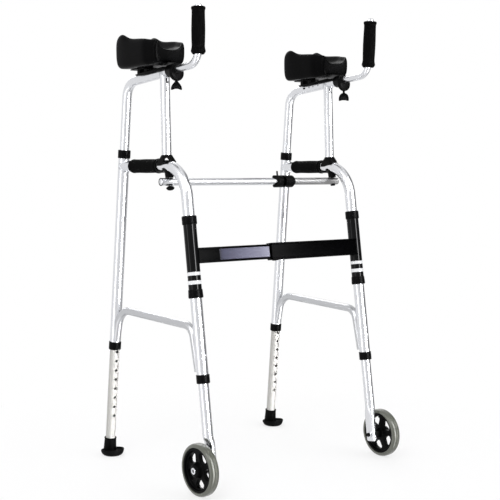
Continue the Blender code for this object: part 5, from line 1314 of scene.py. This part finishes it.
def wing_screw(side):
    """A fan-shaped screw: a plate with a narrow neck and a hollow lower edge, grooved on both faces."""
    top = CLAMP_DISC_Z - 0.0195 - WING_DROP[side] - GAP
    place = at(0, CLAMP_Y[side], top)
    view = math.radians(37)
    across = Vector((math.cos(view), -math.sin(view), 0))
    if side == "left":
        across = Vector((-math.cos(view), -math.sin(view), 0))
    right_half = [
        (0.0034, 0), (0.0046, -0.0020), (0.0070, -0.0046), (0.0100, -0.0084), (0.0124, -0.0130), (0.0134, -0.0170),
        (0.0133, -0.0196), (0.0118, -0.0208), (0.0090, -0.0203), (0.0060, -0.0190), (0.0030, -0.0182),
    ]
    if side == "left":
        right_half = [
            (0.0040, 0), (0.0070, -0.0012), (0.0100, -0.0040), (0.0121, -0.0078), (0.0132, -0.0120), (0.0135, -0.0160),
            (0.0133, -0.0196), (0.0118, -0.0208), (0.0090, -0.0204), (0.0060, -0.0195), (0.0030, -0.0190),
        ]
    outline = right_half + [(-x, y) for x, y in reversed(right_half)]
    fan = cut_plate(outline, 0.0060, place, across, UP)
    shank = rod(place - UP * 0.004, place + UP * (0.0100 + WING_DROP[side]), 0.0030, 32)
    through = across.cross(UP).normalized()
    grooves = []
    for share in (-0.66, -0.33, 0.0, 0.33, 0.66):
        for face in (-1, 1):
            start = place + across * share * 0.005 - UP * 0.006 + through * face * 0.0040
            end = place + across * share * 0.019 - UP * 0.024 + through * face * 0.0032
            grooves.append(rod(start, end, 0.0013, 16))
    cut(fan, *grooves)
    fuse(fan, shank)
    mould(fan, 0.0004, 3)
    settle(fan, "fan_screw", "wing_screw", NYLON, "black_plastic", "clamp_wing_screw", sides=(side,), angle=60)


# Arm trough

# The pad stands a little outboard of the tube that carries it
PAD_OUT = 0.0035
STATIONS = (
    (0.1215, 0.0500, 1.0820, 1.0225, 1.0600),
    (0.1150, 0.0535, 1.0945, 1.0155, 1.0560),
    (0.0940, 0.0550, 1.1005, 1.0145, 1.0540),
    (0.0740, 0.0550, 1.0900, 1.0145, 1.0530),
    (0.0540, 0.0545, 1.0835, 1.0145, 1.0530),
    (0.0200, 0.0540, 1.0815, 1.0150, 1.0530),
    (-0.0060, 0.0540, 1.0790, 1.0155, 1.0530),
    (-0.0160, 0.0505, 1.0765, 1.0155, 1.0530),
    (-0.0320, 0.0475, 1.0745, 1.0190, 1.0520),
    (-0.0420, 0.0450, 1.0725, 1.0215, 1.0515),
    (-0.0455, 0.0400, 1.0690, 1.0250, 1.0505),
)


def trough_section(half_width, top, bottom, floor):
    """One ring of the trough: over the outside from rim to rim, then back through the gutter."""
    outer = [
        (0.90, top), (1.00, top - 0.010), (1.00, bottom + 0.55 * (top - bottom)),
        (0.99, bottom + 0.010), (0.84, bottom - 0.0040), (0.40, bottom),
    ]
    inner = [
        (0.80, top - 0.001), (0.72, top - 0.012), (0.64, floor + 0.008),
        (0.52, floor + 0.003), (0.36, floor + 0.001), (0.18, floor),
    ]
    ring = []
    for half in (outer, inner):
        near = [(-share * half_width, z) for share, z in half]
        far = [(share * half_width, z) for share, z in reversed(half)]
        chain = near + [(0.0, half[-1][1])] + far
        ring += chain if half is outer else list(reversed(chain))
    return ring


def arm_trough():
    """A crowned pad, drawn ring by ring along the forearm and subdivided."""
    form = bmesh.new()
    rings = []
    for y, half_width, top, bottom, floor in STATIONS:
        section = trough_section(half_width, top, bottom, floor)
        rings.append([form.verts.new((x - HALF_SPACING - PAD_OUT, y, z)) for x, z in section])
    count = len(rings[0])
    for near, far in zip(rings, rings[1:]):
        for i in range(count):
            j = (i + 1) % count
            form.faces.new((near[i], near[j], far[j], far[i]))
    for ring in (rings[0], rings[-1]):
        for i in range(count // 2 - 1):
            form.faces.new((ring[i], ring[i + 1], ring[count - 2 - i], ring[count - 1 - i]))
    bmesh.ops.recalc_face_normals(form, faces=form.faces)
    mesh = bpy.data.meshes.new("pad")
    form.to_mesh(mesh)
    form.free()
    pad = bpy.data.objects.new("pad", mesh)
    bpy.context.scene.collection.objects.link(pad)
    work(pad, "SUBSURF", levels=3, render_levels=3)
    rear = trough_floor(0.138)
    front = trough_floor(-0.082)
    run = rear - front
    tilt = math.atan2(run.z, run.y)
    flat = block((rear + front) / 2 - Vector((0, 0, 0.005 - GAP)), (0.09, run.length, 0.010), tilt)
    cut(pad, flat)
    settle(pad, "forearm_pad", "trough", PAD_SKIN, "black_leatherette", "arm_trough", fill=0.8, angle=60)


def trough_bracket():
    rear = trough_floor(0.108, 0.00125)
    front = trough_floor(0.046, 0.00125)
    run = rear - front
    tilt = math.atan2(run.z, run.y)
    plate = block((rear + front) / 2, (0.040, run.length, 0.0025), tilt, 0.0008, 2)
    lift = SUPPORT - 0.001
    strap_rear = support_point(0.100, lift)
    strap_front = support_point(-0.024, lift)
    length = (strap_rear - strap_front).length
    strap = block((strap_rear + strap_front) / 2, (0.020, length, 0.004), -math.atan(SUPPORT_SLOPE), 0.0010)
    fuse(plate, strap)
    for y in (0.086, 0.053):
        high = trough_floor(y, 0.00125)
        low = support_point(y, lift)
        fuse(plate, block((high + low) / 2, (0.019, 0.012, high.z - low.z), 0.0))
    cut(plate, rod(support_point(0.16), support_point(-0.09), SUPPORT + GAP, 48))
    round_edges(plate, 0.0004, 2, 50)
    settle(plate, "pad_bracket", "trough", NYLON, "black_plastic", "trough_bracket")
    for name, y in (("rear", 0.096), ("front", -0.016)):
        seat = support_point(y, SUPPORT + 0.0010)
        screw = turn(
            [(0, 0.0020), (0.0009, 0.0020), (0.0012, 0.0014), (0.0020, 0.0018), (0.0032, 0.0010), (0.0034, 0), (0, 0)],
            seat, SUPPORT_UP, 32,
        )
        settle(screw, f"bracket_{name}_screw", "trough", STEEL, "bright_steel")


# Stage, light and camera

def studio():
    bpy.ops.mesh.primitive_circle_add(vertices=96, radius=30, fill_type="NGON")
    floor = bpy.context.active_object
    floor.name = "floor"
    made, tree, shader = new_finish("painted_studio_floor", Roughness=0.9, Specular_IOR_Level=0.1)
    shader.inputs["Base Color"].default_value = tone("F6F6F6")
    place = add_node(tree, "TexCoord")
    reach = add_node(tree, "VectorMath", {0: place.outputs["Object"]}, operation="LENGTH")
    fade = add_node(tree, "MapRange", {
        "Value": reach.outputs["Value"], "From Min": 0.35, "From Max": 1.0, "To Min": 0.70, "To Max": 1.0,
    })
    path = add_node(tree, "LightPath")
    clear = add_node(tree, "Math", {0: path.outputs["Is Camera Ray"], 1: path.outputs["Is Transmission Ray"]}, operation="MAXIMUM")
    share = add_node(tree, "Math", {0: clear.outputs[0], 1: fade.outputs["Result"]}, operation="MULTIPLY")
    white = add_node(tree, "Emission", {"Color": (1, 1, 1, 1), "Strength": 1.0})
    mixed = add_node(tree, "MixShader", {0: share.outputs[0], 1: shader.outputs[0], 2: white.outputs[0]})
    tree.links.new(mixed.outputs[0], tree.nodes["Material Output"].inputs["Surface"])
    floor.data.materials.append(made)
    floor.visible_glossy = False
    studio_walls()
    for name, place_at, size, power in (
        ("key_softbox", (-1.9, -1.3, 2.6), 1.6, 26.0),
        ("fill_softbox", (1.7, -2.2, 1.9), 1.6, 14.0),
        ("rear_softbox", (0.8, 2.4, 2.4), 1.6, 16.0),
    ):
        lamp = bpy.data.lights.new(name, "AREA")
        lamp.energy = power
        lamp.size = size
        holder = bpy.data.objects.new(name, lamp)
        bpy.context.scene.collection.objects.link(holder)
        holder.location = place_at
        aim = Vector((0, 0, 0.6)) - Vector(place_at)
        holder.rotation_euler = aim.to_track_quat("-Z", "Y").to_euler()


def studio_walls():
    """A white room with two softboxes and a dark flag, which draw lines down the round tubes."""
    world = bpy.data.worlds.new("white_studio")
    bpy.context.scene.world = world
    world.use_nodes = True
    tree = world.node_tree
    back = tree.nodes["Background"]
    heading = add_node(tree, "TexCoord")
    parts = add_node(tree, "SeparateXYZ", {0: heading.outputs["Generated"]})
    angle = add_node(tree, "Math", {0: parts.outputs["Y"], 1: parts.outputs["X"]}, operation="ARCTAN2")
    turn_share = add_node(tree, "MapRange", {
        "Value": angle.outputs[0], "From Min": -math.pi, "From Max": math.pi, "To Min": 0.0, "To Max": 1.0,
    })
    ramp = add_node(tree, "ValToRGB", {"Fac": turn_share.outputs["Result"]})
    # Degrees round from the camera, to its right as the walker sees it, and brightness there
    stops = [
        (-53, 4.0), (-47, 4.0), (-44, 1.0), (-36, 0.92), (-14, 0.85), (-5, 0.70), (12, 0.72), (24, 0.90),
        (43.5, 0.92), (44.5, 27.0), (54.0, 27.0), (55.5, 0.92), (80, 0.88), (88, 0.20), (128, 0.16), (142, 0.50), (158, 0.80), (180, 0.88),
        (250, 0.88), (290, 1.00), (301, 1.2), (304, 4.0), (307, 4.0),
    ]
    elements = ramp.color_ramp.elements
    while len(elements) < len(stops):
        elements.new(0.5)
    for element, (bearing, level) in zip(elements, stops):
        element.position = (bearing + 53) / 360
        element.color = (level / 30, level / 30, level * 1.01 / 30, 1)
    strong = add_node(tree, "VectorMath", {0: ramp.outputs["Color"], "Scale": 30.0}, operation="SCALE")
    steep = add_node(tree, "Math", {0: parts.outputs["Z"]}, operation="ABSOLUTE")
    high = add_node(tree, "MapRange", {
        "Value": steep.outputs[0], "From Min": 0.70, "From Max": 0.88, "To Min": 0.0, "To Max": 1.0,
    })
    # Below the horizon the tubes mirror the white floor as well
    low = add_node(tree, "MapRange", {
        "Value": parts.outputs["Z"], "From Min": -0.02, "From Max": -0.32, "To Min": 0.0, "To Max": 0.55,
    })
    away = add_node(tree, "Math", {0: high.outputs["Result"], 1: low.outputs["Result"]}, operation="MAXIMUM")
    walls = add_node(tree, "Mix", data_type="RGBA")
    tree.links.new(away.outputs[0], walls.inputs[0])
    tree.links.new(strong.outputs["Vector"], walls.inputs[6])
    walls.inputs[7].default_value = (0.90, 0.90, 0.91, 1)
    path = add_node(tree, "LightPath")
    plain = add_node(tree, "Mix", data_type="RGBA")
    tree.links.new(path.outputs["Is Glossy Ray"], plain.inputs[0])
    plain.inputs[6].default_value = (0.78, 0.78, 0.79, 1)
    tree.links.new(walls.outputs[2], plain.inputs[7])
    seen = add_node(tree, "Math", {0: path.outputs["Is Camera Ray"], 1: path.outputs["Is Transmission Ray"]}, operation="MAXIMUM")
    shown = add_node(tree, "Mix", data_type="RGBA")
    tree.links.new(seen.outputs[0], shown.inputs[0])
    tree.links.new(plain.outputs[2], shown.inputs[6])
    shown.inputs[7].default_value = (1, 1, 1, 1)
    tree.links.new(shown.outputs[2], back.inputs["Color"])
    back.inputs["Strength"].default_value = 1.0


def camera():
    lens = bpy.data.cameras.new("camera")
    lens.lens = 75.0
    lens.sensor_width = 36.0
    holder = bpy.data.objects.new("camera", lens)
    bpy.context.scene.collection.objects.link(holder)
    holder.location = (-1.649, -2.180, 0.752)
    holder.rotation_euler = Vector((0.6037, 0.7939, -0.0725)).to_track_quat("-Z", "Y").to_euler()
    bpy.context.scene.camera = holder


camera()
studio()
front_leg()
rear_leg()
side_brace()
top_tube()
front_post()
collars()
snap_buttons()
rear_inner_tube()
front_inner_tube()
rubber_foot()
tyre()
wheel_disc("right", 44)
wheel_disc("left", 64)
axle()
sleeve()
crossbar()
saddle()
stay()
stay_knob()
handle_grip()
arm_trough()
trough_bracket()
for side in ("right", "left"):
    handle_bar(side)
    hand_grip(side)
    clamp(side)

bpy.context.scene.view_settings.view_transform = "Standard"
